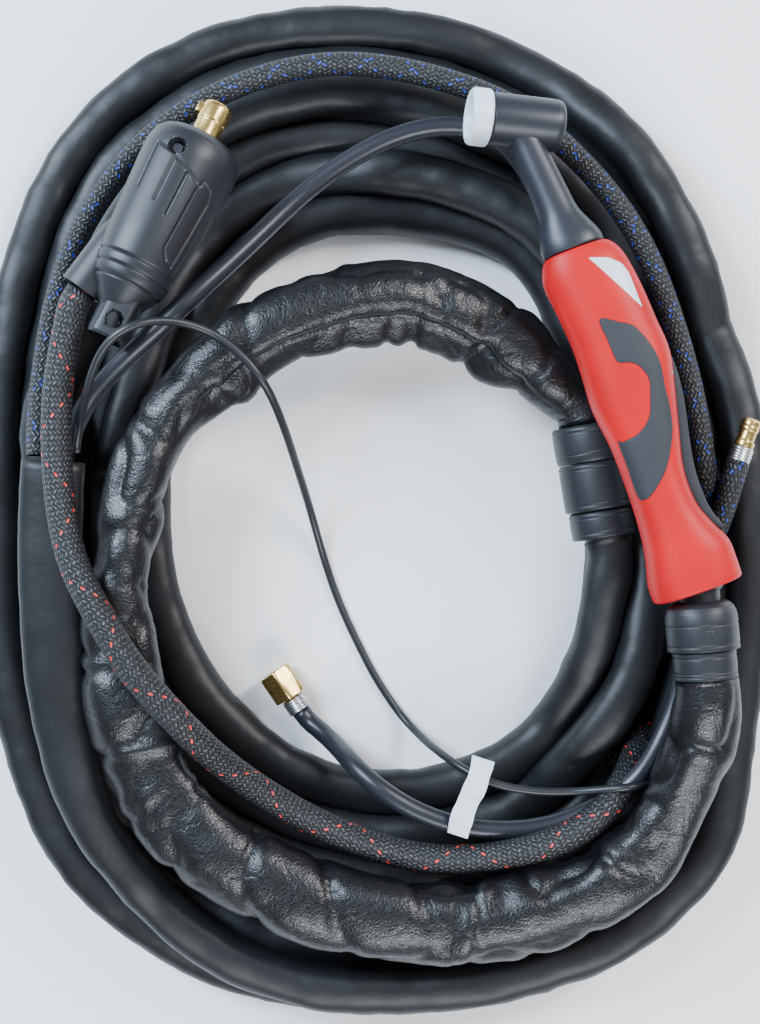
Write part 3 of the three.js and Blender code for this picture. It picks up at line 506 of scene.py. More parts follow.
HANDLE = [
    (-9, -25, 19.2, 19.6), (0, -24.8, 19.4, 19.8), (10, -22.3, 18.9, 19.4), (19, -20.4, 14.6, 18.4),
    (32, -19.2, 10, 17.2), (50, -18.8, 10, 16.6), (70, -19.3, 14.8, 17), (90, -21.6, 19.8, 17.8),
    (106, -21, 23, 18), (122, -20.5, 22, 17.8), (140, -22, 20.8, 17.2), (155, -23.6, 18.6, 16.4),
    (162, -22, 16.2, 15.6), (166.5, -19.6, 12.4, 14.4),
]
SQUARENESS = 2.6
GRIP_OUTLINE = [
    (-6.5, 130), (2, 125.5), (8.8, 120), (14, 104), (12.4, 88), (11.6, 78.7), (8.6, 67.4), (0.4, 53.2),
    (-9.1, 44.2), (-14.7, 41.5), (-17, 44), (-17, 58), (-17, 71.8), (-15, 71.1), (-6.6, 72.8), (0, 78.2),
    (3.4, 86.3), (5.9, 94.8), (4.2, 101.6), (0.4, 105.5), (-4.6, 107.3), (-5.8, 109.8), (-6.4, 120),
]
LABEL_OUTLINE = [(-1.8, 160), (8, 156.6), (13.4, 152), (15.2, 147), (15.4, 128)]
TRIGGER_OUTLINE = [
    (22, 103), (22.8, 96), (21.8, 84), (19.6, 72), (17, 60), (15, 48), (14.6, 36), (15.6, 26),
    (18.6, 16.5), (15.6, 16), (11, 24), (8, 36), (8, 50), (11.5, 66), (14.5, 82), (15, 94), (17, 102),
]


def handle_section(y):
    left, right = along(HANDLE, y, 1), along(HANDLE, y, 2)
    return (left + right) / 2, (right - left) / 2, along(HANDLE, y, 3)


def handle_height(x, y, grow):
    centre, width, thickness = handle_section(y)
    share = min(abs(x - centre) / (width + grow), 0.995)
    return (thickness + grow) * (1 - share**SQUARENESS) ** (1 / SQUARENESS)


def build_casing(name, side, shade, node_name):
    """Half of the red casing, with a rounded parting line and open ends."""
    steps = 60

    def ring(y, grow):
        centre, width, thickness = handle_section(y)
        edge = width + grow
        points = [(centre + edge - 2.7, y, 0.15), (centre + edge - 0.35, y, 0.15)]
        for i in range(steps + 1):
            angle = math.pi * i / steps
            x = centre + edge * bulge(math.cos(angle), SQUARENESS)
            z = (thickness + grow) * bulge(math.sin(angle), SQUARENESS)
            points.append((x, y, max(z, 0.5)))
        points += [(centre - edge + 0.35, y, 0.15), (centre - edge + 2.7, y, 0.15)]
        return [(x, y, side * z) for x, y, z in points]

    def opening(y, radius, centre):
        points = []
        for i in range(-2, steps + 3):
            angle = math.pi * min(max(i, 0), steps) / steps
            height = max(radius * math.sin(angle), 0.15)
            points.append((centre + radius * math.cos(angle), y, side * height))
        return points

    rows = [opening(9, 16.7, 0), opening(-5.8, 16.7, 0), opening(-6, 15.65, 0), opening(-9, 15.65, 0)]
    rows += [ring(-9, -1.4), ring(-8.8, -0.6), ring(-8.3, -0.15)]
    rows += [ring(y, 0) for y in np.linspace(-7.4, 165.2, 84)]
    rows += [ring(165.9, -0.12), ring(166.3, -0.5), ring(166.5, -1.2)]
    rows += [opening(166.5, 10.9, -4), opening(152, 10.9, -4)]
    vertices = [point for row in rows for point in row]
    faces = grid_faces(len(rows), len(rows[0]), False)
    mesh_object(name, vertices, faces, shade, TORCH, [node_name], body="torch")


def inset(outline, distance):
    """An anticlockwise or clockwise closed outline moved inwards."""
    p = np.array(outline)
    area = 0.5 * np.sum(p[:, 0] * np.roll(p[:, 1], -1) - np.roll(p[:, 0], -1) * p[:, 1])
    direction = unit(np.roll(p, -1, axis=0) - np.roll(p, 1, axis=0))
    inward = np.stack([-direction[:, 1], direction[:, 0]], 1) * (1 if area > 0 else -1)
    return p + inward * distance


def inside(points, outline):
    x, y = points.T
    result = np.zeros(len(points), bool)
    for (x1, y1), (x2, y2) in zip(outline, np.roll(outline, -1, axis=0)):
        crosses = (y1 > y) != (y2 > y)
        with np.errstate(divide="ignore", invalid="ignore"):
            result ^= crosses & (x < (x2 - x1) * (y - y1) / (y2 - y1) + x1)
    return result


def filled(outline, spacing):
    """Triangles inside an outline, with a grid of points so that they can follow a curved face."""
    low, high = outline.min(0), outline.max(0)
    xs = np.arange(low[0], high[0], spacing)
    ys = np.arange(low[1], high[1], spacing)
    grid = np.stack(np.meshgrid(xs, ys), -1).reshape(-1, 2)
    grid = grid[inside(grid, np.array(outline))]
    gap = np.linalg.norm(grid[:, None] - outline[None], axis=2).min(1)
    points = [Vector(p) for p in np.vstack([outline, grid[gap > 0.6 * spacing]])]
    edges = [(i, (i + 1) % len(outline)) for i in range(len(outline))]
    made = geometry.delaunay_2d_cdt(points, edges, [], 1, 1e-5)
    return [tuple(p) for p in made[0]], [tuple(f) for f in made[2]]


def build_skin(name, outline, proud, side, shade, stands_for):
    """A thin moulding with soft edges laid on the handle's face."""
    loops = [(0, -0.8), (0, proud - 0.35), (0.15, proud - 0.1), (0.5, proud)]
    vertices = []
    for distance, grow in loops:
        for x, y in inset(outline, distance):
            vertices.append((x, y, side * handle_height(x, y, grow)))
    faces = grid_faces(len(loops), len(outline))
    flat, triangles = filled(inset(outline, loops[-1][0]), 1.8)
    first = len(vertices)
    vertices += [(x, y, side * handle_height(x, y, proud)) for x, y in flat]
    faces += [tuple(first + k for k in f) for f in triangles]
    mesh_object(name, vertices, faces, shade, TORCH, stands_for, body="torch")


def straight_outline(corners, step, rounding):
    """A closed outline with straight sides and rounded corners."""
    p = np.array(corners, float)
    points = []
    for before, corner, after in zip(np.roll(p, 1, axis=0), p, np.roll(p, -1, axis=0)):
        start = corner + unit(before - corner) * rounding
        stop = corner + unit(after - corner) * rounding
        for t in np.linspace(0, 1, 5):
            points.append(start * (1 - t) ** 2 + corner * 2 * t * (1 - t) + stop * t * t)
    dense = np.array([*points, points[0]])
    travelled = np.r_[0, np.cumsum(np.linalg.norm(np.diff(dense, axis=0), axis=1))]
    stops = np.linspace(0, travelled[-1], round(travelled[-1] / step), endpoint=False)
    return np.stack([np.interp(stops, travelled, dense[:, k]) for k in range(2)], 1)


def build_trigger(shade):
    outline = smooth_route(TRIGGER_OUTLINE, 1.0, closed=True)
    layers = [(-6, 1.3), (-5.8, 0.6), (-5.2, 0.15), (-4.4, 0), (4.4, 0), (5.2, 0.15), (5.8, 0.6), (6, 1.3)]
    rows = [[(x, y, z) for x, y in inset(outline, distance)] for z, distance in layers]
    rows_object("trigger_lever", [rows], shade, TORCH, ["trigger"], "trigger", capped=True)


def build_handle(finish):
    build_casing("casing_top", 1, finish["red"], "handle_shell_top")
    build_casing("casing_bottom", -1, finish["red"], "handle_shell_bottom")
    grip = smooth_route(GRIP_OUTLINE, 0.8, closed=True)
    build_skin("grip_top", grip, 0.5, 1, finish["grip"], ["grip_inlay_top"])
    build_skin("grip_bottom", grip, 0.5, -1, finish["grip"], ["grip_inlay_bottom"])
    label = straight_outline(LABEL_OUTLINE, 0.5, 1.6)
    build_skin("label", label, 0.2, 1, finish["film"], ["label_plate"])
    build_trigger(finish["grip"])
    repaint(finish["steel"], *(f"handle_screw_{k}" for k in (1, 2, 3)), "trigger_pin", "trigger_spring")
    repaint(finish["black"], "microswitch", "seat_ring_inner", "seat_ring_outer")
    repaint(finish["copper"], "power_water_tube", "gas_tube", "water_inlet_tube")
    repaint(finish["lead"], "power_water_lead", "gas_lead", "water_inlet_lead")


# ---------------------------------------------------------------- head

NECK = [
    (166.8, -4, 15.6, 13.6), (172, -4.2, 15.2, 13.2), (179, -4.8, 12.6, 11.6), (186, -5.3, 10.1, 10.2),
    (196, -6, 9.3, 9.4), (212, -7.4, 8.7, 8.8), (226, -8.6, 7.9, 8.4), (234, -8.6, 7.6, 8.2),
]


def build_head(finish):
    neck = []
    starts = [(151, -5.1), (166.6, -5.1), (166.7, -1.2), (166.9, -0.5), (167.4, -0.1)]
    for y, grow in [*starts, *((y, 0) for y in np.linspace(168.2, 234, 46))]:
        root = max(0.0, (y - 221) / 13) ** 2 * 2.4
        centre, width, thickness = (along(NECK, max(y, 166.8), k) for k in (1, 2, 3))
        row = []
        for j in range(64):
            angle = 2 * math.pi * j / 64
            x = centre + (width + grow + 1.6 * root) * bulge(math.cos(angle), 2.3)
            row.append((x, y, (thickness + grow + root) * bulge(math.sin(angle), 2.3)))
        neck.append(row)
    to_torch = TORCH.inverted() @ BARREL
    cover = [
        (9.5, 9), (9.5, -19.8), (10.6, -19.8), (11.9, -18.8), (12.6, -16.2), (12.7, -12), (12.7, 15.8),
        (9.5, 15.8),
    ]
    barrel = turned_rows(soften(cover, 0.7), 80)
    barrel = [[tuple(to_torch @ Vector(p)) for p in row] for row in barrel]
    rows_object("head_moulding", [neck, barrel], finish["head"], TORCH, ["head_cover"], body="torch")
    thread = [(5.5 + 0.7 * (k % 2), 15.5 - 0.7 * k) for k in range(14)]
    brass = [(9.2, 15.9), *thread, (5.5, 5), (5.5, -19.7), (9.2, -19.7), (9.2, 15.9)]
    rows = turned_rows(brass, 64)
    rows_object("head_brass", [rows], finish["brass"], BARREL, ["head_body"], body="torch")
    gasket = [
        (7.2, 16.4), (12.9, 16.4), (13.9, 17.4), (13.9, 24.9), (13.3, 26.1), (12.1, 26.7), (10.6, 26.7),
        (9.9, 26), (7.4, 21), (7.2, 16.4),
    ]
    turned("gasket", gasket, finish["gasket"], BARREL, ["cup_gasket"], 0.6, 80, body="torch")


# ---------------------------------------------------------------- collar and coupler


def grooved(radius, start, stop, places, depth=0.45, wide=0.5):
    """Profile points of a cylinder with shallow grooves round it."""
    points = [(radius, start)]
    sign = 1 if stop > start else -1
    for at in places:
        points += [(radius, at - sign * wide), (radius - depth, at), (radius, at + sign * wide)]
    return [*points, (radius, stop)]


def build_collar(finish):
    ball = [(8.5, -30), (10, -30), (10, -10.5)]
    for k in range(16):
        angle = math.radians(43.6 + (144.1 - 43.6) * k / 15)
        ball.append((14.5 * math.sin(angle), -14.5 * math.cos(angle)))
    ball.append((8.5, -30))
    turned("ball_and_stem", ball, finish["black"], COLLAR, ["swivel_ball"], 0.2)
    dome = [
        (10.3, -31), (10.3, -15), (12, -15), (14, -15.9), (15.9, -17.8), (17, -20.3), (17.5, -23),
        *grooved(17.6, -25, -38.9, [-26.3, -36.2]), (13, -38.9), (13, -31), (10.3, -31),
    ]
    turned("collar_dome", dome, finish["black"], COLLAR, ["swivel_collar"], 0.5)
    for side in (-1, 1):
        rounded_block(
            f"clip_mark_{'left' if side < 0 else 'right'}", (0.7, 3.6, 0.7), (1.3 * side, -30.5, 17.5), 0.2,
            finish["dark_steel"], COLLAR,
        )
    rounded_block("clip_mark_front", (3.2, 0.7, 0.7), (0, -28.5, 17.5), 0.2, finish["dark_steel"], COLLAR)
    ring = [(12, -53), (12, -39.3), *grooved(15.4, -39.3, -53, [-42, -49.5, -51]), (12, -53)]
    turned("cover_ring", ring, finish["black"], COLLAR, ["cover_ring_front"], 0.5)


def build_coupler(finish):
    parts = [
        ("coupler_top", "coupler_ring_leather", 0, -19, COUPLER_R, [-3.4, -14.6]),
        ("coupler_barrel", "coupler_body", -19.3, -44, COUPLER_R - 0.5, [-22.4, -41]),
        ("coupler_bottom", "coupler_ring_sleeve", -44.3, -58.6, COUPLER_R - 1.9, [-47.5, -55.5]),
    ]
    for name, node_name, start, stop, radius, places in parts:
        lip = 0.5 if name == "coupler_top" else 0
        profile = [(13.5, start), (radius - 1.1, start), (radius, start - 1.6)]
        profile += grooved(radius, start - 1.7, stop + 1, places)[1:-1]
        profile += [(radius - lip, stop + 0.9), (radius - 0.8, stop), (13.5, stop), (13.5, start)]
        turned(name, profile, finish["black"], COUPLER, [node_name], 0.5)


# ---------------------------------------------------------------- power connector

SHELL_PROFILE = [
    (6.6, -101), (7.4, -99), (8, -86), (11.5, -82), (15, -77), (18.2, -72), (19.4, -67), (20.2, -61),
    (21.8, -45), (23.4, -20), (24.2, -6), (24, 0), (22.6, 5), (19.4, 8.4), (15, 10), (7.8, 10),
]
SHELL_LINES = [  # grooves of the shell: angle from its top in degrees and place along it, from and to
    ((-36, -6), (-36, -30)), ((-7, -10), (-7, -33)), ((14, -14), (14, -38)), ((33, -18), (33, -52)),
    ((58, -22), (58, -58)), ((71, -30), (71, -60)), ((82, -33), (82, -62)), ((-36, -6), (-9, -9)),
    ((-7, -10), (12, -13.5)), ((14, -14), (31, -17.5)), ((33, -18), (37, -15)), ((37, -15), (51, -16.5)),
    ((51, -16.5), (58, -22)), ((33, -52), (45, -57)), ((45, -57), (58, -58)),
]
BOSS_TO = (-19.5, -83, -6)
BOSS_R = 11.4
GROOVE_WIDTH = 0.55
GROOVE_RADIUS = 23  # turns an angle round the shell into millimetres
CROSS_GROOVES = (-62.5, -68, -74)


def line_distance(point, start, stop):
    p, a, b = (np.array(v, float) for v in (point, start, stop))
    t = np.clip(np.sum((p - a) * (b - a), -1) / np.sum((b - a) ** 2), 0, 1)[..., None]
    return np.linalg.norm(p - a - t * (b - a), axis=-1)


def hollow(distance, radius, depth, wall=0.9):
    share = np.clip((radius - distance) / wall, 0, 1)
    return depth * share * share * (3 - 2 * share)


def shell_rows(sides=280):
    """The turned shell with its grooves, its sunk panel and the front screw's recess cut in."""
    profile = np.array([tuple(p) for p in soften(SHELL_PROFILE, 1.6, 4)])
    dense = smooth_route(profile, 0.55)
    angle = np.linspace(-np.pi, np.pi, sides, endpoint=False)
    r, y = dense[:, :1], dense[:, 1:] + 0 * angle
    surface = np.stack([angle * GROOVE_RADIUS + 0 * r, y], -1)
    cut = 0 * y
    for (a0, y0), (a1, y1) in SHELL_LINES:
        ends = [(math.radians(a) * GROOVE_RADIUS, at) for a, at in ((a0, y0), (a1, y1))]
        cut = np.maximum(cut, 0.8 * hump(line_distance(surface, *ends), 0, GROOVE_WIDTH))
    for at in CROSS_GROOVES:
        cut = np.maximum(cut, 0.7 * hump(y, at, GROOVE_WIDTH))
    degrees = np.degrees(angle) + 0 * r
    panel = (degrees > 34) & (degrees < 57) & (y < -19) & (y > -55)
    cut = np.maximum(cut, 0.25 * panel)
    recess = hollow(np.hypot(r * np.sin(angle) + 4.5, (y + 5) * 1.15), 4.6, 6.5)
    cut = np.maximum(cut, recess * (np.abs(degrees) < 60))
    radius = np.maximum(r - cut, 0.2)
    return np.stack([radius * np.sin(angle), y, radius * np.cos(angle)], -1).tolist()


def boss_rows(sides=64):
    """The side boss that takes the power hose, swelling out of the shell to its open mouth."""
    mouth, root = Vector(BOSS_TO), Vector((-8.6, -26, -0.4))
    axis = (mouth - root).normalized()
    across = axis.cross(Vector((0, 0, 1))).normalized()
    up = across.cross(axis)
    reach = (mouth - root).length
    shares = np.linspace(0, 1, 34)
    stations = [(t * reach, BOSS_R * math.sin(math.pi / 2 * min(1, t * 1.75 + 0.02)) ** 0.75) for t in shares]
    stations += [(reach + 0.25, 11.1), (reach + 0.1, 9.9), (reach - 1, 9.4), (reach - 14, 9)]
    turns = [2 * math.pi * j / sides for j in range(sides)]
    return [
        [tuple(root + axis * s + across * wide * math.cos(a) + up * wide * math.sin(a)) for a in turns]
        for s, wide in stations
    ]


def tail_rows(sides=96):
    """The square block at the tail, with the rear screw's recess."""
    rows = []
    straight = [(v, 0) for v in np.linspace(-82, -99.8, 40)]
    for at, grow in [(-74, 0.5), (-80, 0.2), *straight, (-100.6, -0.5), (-101, -1.5)]:
        row = []
        for j in range(sides):
            a = 2 * math.pi * j / sides
            px = 3.5 + (8 + grow) * bulge(math.cos(a), 5)
            pz = 0.5 + (8.5 + grow) * bulge(math.sin(a), 5)
            if pz > 2:
                pz -= float(hollow(math.hypot(px - 4, at + 92), 4.3, 5.5, 0.7))
            row.append((px, at, pz))
        rows.append(row)
    return rows


def build_plug_pin(shade):
    """The brass pin with the lug that locks it in its socket."""
    pin = [
        (0.05, -34), (7.3, -34), (7.3, 10), (7, 10.6), (7, 19.6), (7.5, 20.2), (7.5, 27.6), (6.9, 29.2),
        (5.6, 30), (0.05, 30),
    ]
    rows = turned_rows(soften(pin, 0.4), 72)
    vertices = [p for row in rows for p in row]
    lug, lug_faces = block_parts((3.4, 5.5, 4.6), (-7.7, 24.5, 1.5), 0.6)
    faces = grid_faces(len(rows), 72) + [tuple(len(vertices) + k for k in face) for face in lug_faces]
    mesh_object("brass_plug", vertices + lug, faces, shade, CONNECTOR, ["connector_pin"])


def build_connector(finish):
    sets = [shell_rows(), boss_rows(), tail_rows()]
    rows_object("connector_moulding", sets, finish["black"], CONNECTOR, ["connector_shell"])
    repaint(finish["dark_steel"], "connector_screw_1", "connector_screw_2")
    build_plug_pin(finish["brass"])


# ---------------------------------------------------------------- hose ends


def build_ferrule(name, node_name, radius, matrix, finish):
    profile = [(3, -4.3), (radius - 0.4, -4.3)]
    for k in range(5):
        profile += [(radius, -4 + k * 1.45), (radius, -3.3 + k * 1.45), (radius - 0.35, -2.9 + k * 1.45)]
    profile += [(radius, 3.1), (radius - 0.5, 3.5), (3, 3.5), (3, -4.3)]
    turned(name, profile, finish["steel"], matrix, [node_name], 0.25, 56)


def build_hose_ends(finish):
    build_ferrule("gas_crimp", "gas_ferrule", 6.4, GAS, finish)
    build_ferrule("water_crimp", "water_ferrule", 5.9, WATER, finish)
    stem = [(1.6, 3.8), (4.2, 3.8), (4.2, 8.6), (5.4, 8.6), (5.4, 11), (3.4, 14), (1.6, 14), (1.6, 3.8)]
    turned("gas_tail", stem, finish["brass"], GAS, ["gas_nipple"], 0.3, 48)

    def hexagon(r, angle):
        if r < 6.6:
            return r
        flat = 9.7 * math.cos(math.pi / 6) / math.cos(angle % (math.pi / 3) - math.pi / 6)
        return min(r, flat)

    thread = [(6.1 + 0.45 * (k % 2), 20.2 - 0.75 * k) for k in range(16)]
    outside = [(4.5, 4.6), (8.8, 4.6), (9.8, 5.6), (9.8, 19.6), (8.9, 20.6), (6.7, 20.6)]
    nut = [*outside, *thread, (4.5, 8.3), (4.5, 4.6)]
    rows = turned_rows(nut, 72, hexagon)
    rows_object("gas_nut", [rows], finish["brass"], GAS, ["gas_union_nut"], body="gas_union_nut")
    stem = [
        (2, 3.8), (5.2, 3.8), (5.2, 6.6), (4.4, 7.2), (4.4, 12), (5, 12.4), (5, 14), (4.6, 14.4), (5, 14.8),
        (5, 17), (3.6, 18.4), (2, 18.4), (2, 3.8),
    ]
    turned("water_tail", stem, finish["brass"], WATER, ["water_nipple"], 0.3, 48)
    rows = []
    for y in np.linspace(-20.5, 20.5, 36):
        bow = 0.7 * math.sin(y * 0.33) + 0.5 * math.sin(y * 0.9)
        half, lean = 5.6 + 0.25 * math.sin(y * 0.4), 0.9 * math.sin(y * 0.14)
        rows.append([
            (lean - half, y, bow - 0.25), (lean, y, bow + 0.3), (lean + half, y, bow - 0.25),
            (lean + half, y, bow - 0.6), (lean, y, bow - 0.1), (lean - half, y, bow - 0.6),
        ])
    rows_object("tag_strip", [rows], finish["film"], TAG, ["hose_tag"], capped=True)
    rounded_block("cable_plug", (9.5, 24, 9), (0, 0, 0), 1.4, finish["black"], PLUG, ["switch_plug"])


# ---------------------------------------------------------------- how the cords lie

COIL_OUTER = [
    (-16, 272), (70, 255), (139, 200), (181, 105), (202, 0), (200, -80), (183, -172), (120, -237),
    (10, -269), (-100, -249), (-170, -202), (-203, -115), (-211, 0), (-206, 110), (-172, 206), (-100, 259),
]
COIL_INNER = [
    (11, 149), (-42, 144), (-78, 112), (-102, 59), (-112, -15), (-93, -80), (-42, -129), (11, -139),
    (64, -124), (97, -86), (107, -41), (104, 17), (98, 75), (72, 132),
]
SLEEVE_R = 11.7
RED_R = 7.5
BLUE_R = 6
GAS_R = 5
CABLE_R = 2.1
LEATHER_R = 17

LEATHER_ROUTE = [
    (159.5, -99.3, 84.6), (157.7, -116.3, 79), (149.8, -142.3, 71.5), (135, -166.9, 68), (114, -186, 67.6),
    (96.5, -195.5, 67.6), (55, -206.5, 67.6), (18.5, -207, 67.6), (-23.5, -198, 67.6),
    (-54.5, -186.5, 67.6), (-86.5, -169, 67.6), (-107.5, -147, 67.6), (-120.5, -120, 67.6),
    (-129, -89, 67.6), (-131.5, -59, 67.6), (-130.5, -30.5, 67.6), (-126, -4, 67.6), (-119, 24.5, 67.6),
    (-107.5, 46, 67.6), (-92, 65.5, 67.6), (-75, 81.5, 67.6), (-56.6, 93.6, 67), (-38.6, 101.9, 65),
    (-13.6, 107.8, 62), (20.3, 111.5, 57), (42.8, 104.9, 53), (65, 91.1, 49), (85.6, 70.7, 43),
]
SLEEVE_START = [COUPLER_FOOT, (118.5, -22, 40), (120.5, -36, 38)]
SLEEVE_LAST = [
    (192.5, -92.6, 36), (190.4, -111.9, 36), (181.1, -155.6, 36), (168.1, -183.7, 36), (138.4, -213.8, 36),
    (105.6, -231.5, 36), (62.4, -244.5, 36), (19.3, -249.7, 36), (-24.5, -248.7, 36), (-63.4, -239.6, 37),
    (-99.8, -217.2, 41), (-130.9, -183.2, 47), (-153.3, -145.7, 53), (-162.5, -98.7, 58),
    (-165.9, -56, 61), (-166.8, -14.1, 61.5), (-165.8, 6, 61.5), (-164.6, 25.7, 61.5),
]
BLUE_SEEN = [
    (-172.3, 28.7, 61.2), (-172.7, 41.4, 60), (-173.1, 54.2, 57.2), (-171.6, 66.9, 56.6),
    (-169, 83.8, 56.6), (-166.5, 100.9, 56.6), (-161.4, 117.7, 56.6), (-156.3, 134.5, 56.6),
    (-150.6, 146.6, 56.6), (-142, 159.9, 56.6), (-133.5, 171.9, 56.6), (-125.3, 182.7, 56.6),
    (-117.1, 190.3, 56.6), (-108.2, 197.5, 56.6), (-98, 203.9, 56.6), (-86.7, 210.5, 56.6),
    (-76.1, 215.3, 56.6), (-62.9, 220.3, 56.6), (-43.1, 225.7, 56.6), (-22, 228.2, 56.6),
    (-1, 226.9, 56.6), (20.3, 223.1, 56.6), (41.4, 217, 56.6), (60.9, 209.4, 56.6), (78.6, 199.3, 56.6),
    (94.2, 185.7, 56.6), (109, 170.9, 56.6), (121.7, 155.2, 56.6), (132.3, 138.4, 56.6),
    (140.7, 120.2, 56.6), (148.1, 99, 56.6), (154.5, 78.1, 56.6), (159.7, 56.8, 56.6), (163, 37.8, 56.6),
    (164.6, 23.8, 56.6), (165.3, 12.7, 56.6),
]
BLUE_HIDDEN = [
    (167.5, -2, 55), (168.5, -20, 48), (169, -50, 37), (170, -85, 30), (165, -115, 27), (148, -130, 26),
    (129, -121, 26), (121, -98, 26), (128, -72, 26), (146, -50, 28), (162, -28, 38), (172, -10, 50),
]
BLUE_END = [(177.4, 9.5, 56.6), (179, 17, 56.6)]
RED_HIDDEN = [(-163, 26.8, 55), (-163, 48, 44), (-160, 80, 24), (-152, 100, 10)]
RED_SEEN = [
    (-151.2, 97.5, 82.5), (-155.5, 81.1, 82), (-158.4, 64.8, 82), (-159.5, 48.6, 82), (-159.5, 32.1, 82),
    (-158.5, 15.7, 82.5), (-156.2, -1.5, 84), (-152.8, -17.6, 87), (-147.2, -31.8, 90),
    (-136.4, -49.8, 93.2), (-126.4, -68, 93.2), (-114.3, -84.1, 93.2), (-97.8, -102.8, 89),
    (-84.7, -118.4, 80), (-67.2, -135, 67), (-44.6, -150.9, 60), (-23.8, -161.7, 58.5),
    (-2.5, -170.1, 58.5), (18.6, -175.4, 58.5), (39.4, -176.7, 59.3), (60.5, -174.2, 61),
    (81.7, -168.8, 59.5), (102.7, -159.6, 58.5), (119.1, -145.5, 57), (130.7, -130.7, 51),
    (138.6, -116.9, 41), (145, -101.4, 28),
]
GAS_SEEN = [
    (-157.5, 30.4, 57.6), (-154.7, 44, 59), (-148.2, 55.4, 64), (-135.9, 67.3, 72), (-121.7, 79.8, 79),
    (-108, 91, 82), (-95, 104.2, 81), (-82.6, 116.4, 76), (-69.9, 129.9, 69), (-57.1, 143.7, 62),
    (-44.1, 157.6, 57), (-30.5, 169.3, 55.6), (-16.9, 178.7, 55.6), (-3.6, 186.6, 55.6),
    (10.2, 192.4, 55.6), (20.3, 195.5, 55.6), (33, 197, 55.6), (43.7, 196.5, 55.6), (55.9, 194, 55.6),
    (65, 187.9, 55.6), (73.1, 177.2, 55.6), (83.8, 155.9, 55.6), (96.5, 126.9, 55.6), (110.7, 92.4, 55.6),
    (122.9, 56.9, 55.6), (134, 21.3, 55.6), (144.2, -14.2, 55.6), (152.3, -44.7, 55.6),
    (155.4, -70.1, 55.6), (152.3, -92.4, 55.6), (147.7, -105.1, 55.6), (141.2, -119.8, 55.6),
    (132.9, -132.5, 55.6), (120.2, -144.2, 55.6), (107.5, -151.8, 55.6), (92.7, -157.9, 55.6),
    (77.7, -161.7, 55.6), (60.9, -162.3, 55.6), (44, -160.9, 55.6), (29.2, -156.9, 55.6),
    (14.2, -150.7, 55.6), (4.6, -144.6, 56), (-3.6, -138.5, 56), (-11.2, -132, 52.5), (-16.5, -127.7, 41),
    (-22.1, -124.1, 27), (-27.7, -119.9, 16.5), (-33.2, -115.2, 11.8),
]
CABLE_SEEN = [
    (-152.1, 30, 67.4), (-150.5, 38.4, 70.5), (-147.3, 47.8, 79), (-142, 60.1, 92), (-134.3, 76, 102.5),
    (-125, 85.6, 107), (-114.1, 90.4, 106.5), (-102.4, 92.2, 99), (-90.6, 90.6, 92), (-77.9, 85.4, 88),
    (-65, 74.1, 87.6), (-55.5, 61.3, 84), (-48.6, 43.6, 66), (-43.1, 23.5, 40), (-37.4, 2.1, 18),
    (-31.3, -21.6, 6), (-24.4, -43.3, 2.6), (-16.2, -62.6, 2.6), (-9.7, -75.8, 2.6), (-2.7, -89.6, 2.6),
    (4.3, -100.2, 2.6), (10.8, -109.8, 3.5), (17.2, -116.1, 9), (23.8, -121.2, 22), (31.1, -125.1, 38),
    (39.8, -129.7, 51), (47.7, -133.9, 56.5), (56.6, -137.9, 57), (66.9, -140.4, 57), (77.6, -142, 56.5),
    (88.8, -142.5, 56.5), (98.9, -142, 56.8), (109.1, -140.9, 60), (116.6, -139.5, 63.5),
    (123, -138.1, 64.4), (128.6, -137.4, 63.8), (133.7, -137.6, 61.9), (138.9, -137.4, 55.4),
    (150.5, -129.7, 54.5), (159.8, -121.6, 54), (168.5, -112, 53.5),
]


def outline_radius(outline):
    """The distance of a closed outline from the coil's middle, as a function of the angle."""
    points = np.array(outline, float)
    angle = np.mod(np.arctan2(points[:, 1], points[:, 0]), 2 * np.pi)
    order = np.argsort(angle)
    radius = np.hypot(*points.T)[order]
    angle = np.concatenate([angle[order] + turn for turn in (-2 * np.pi, 0, 2 * np.pi)])
    fine = np.linspace(0, 2 * np.pi, 361)
    coarse = np.interp(fine, angle, np.tile(radius, 3))
    kernel = np.exp(-np.linspace(-2, 2, 25) ** 2)
    padded = np.concatenate([coarse[-13:-1], coarse, coarse[1:13]])
    smoothed = np.convolve(padded, kernel / kernel.sum(), "valid")
    return lambda phi: np.interp(np.mod(phi, 2 * np.pi), fine, smoothed)


outer_radius = outline_radius(COIL_OUTER)
inner_radius = outline_radius(COIL_INNER)


def ring_point(degrees, share, height):
    """A point in the coil: an angle, a share of the way from its inner to its outer edge, a height."""
    phi = math.radians(degrees)
    radius = inner_radius(phi) * (1 - share) + outer_radius(phi) * share
    return radius * math.cos(phi), radius * math.sin(phi), height


def coiled_turns(turns=6.0, count=900):
    """Clockwise turns from the coupler: a lower layer from the inside out, then an upper one."""
    lanes = [0.06, 0.45, 0.84, 0.25, 0.62, 0.99, 0.99]
    heights = [12, 12, 12, 34, 34, 34, 36]
    t = np.linspace(0, turns, count)
    phi = math.atan2(-22, 118.5) - 2 * np.pi * t
    whole = np.minimum(t.astype(int), len(lanes) - 2)
    change = np.clip((t - whole - 0.8) / 0.2, 0, 1)
    change = change * change * (3 - 2 * change)
    share = np.take(lanes, whole) * (1 - change) + np.take(lanes, whole + 1) * change
    z = np.take(heights, whole) * (1 - change) + np.take(heights, whole + 1) * change
    low = inner_radius(phi) + SLEEVE_R + 1
    radius = low + (outer_radius(phi) - SLEEVE_R - 1 - low) * share
    return np.stack([radius * np.cos(phi), radius * np.sin(phi), z], 1)[12:]


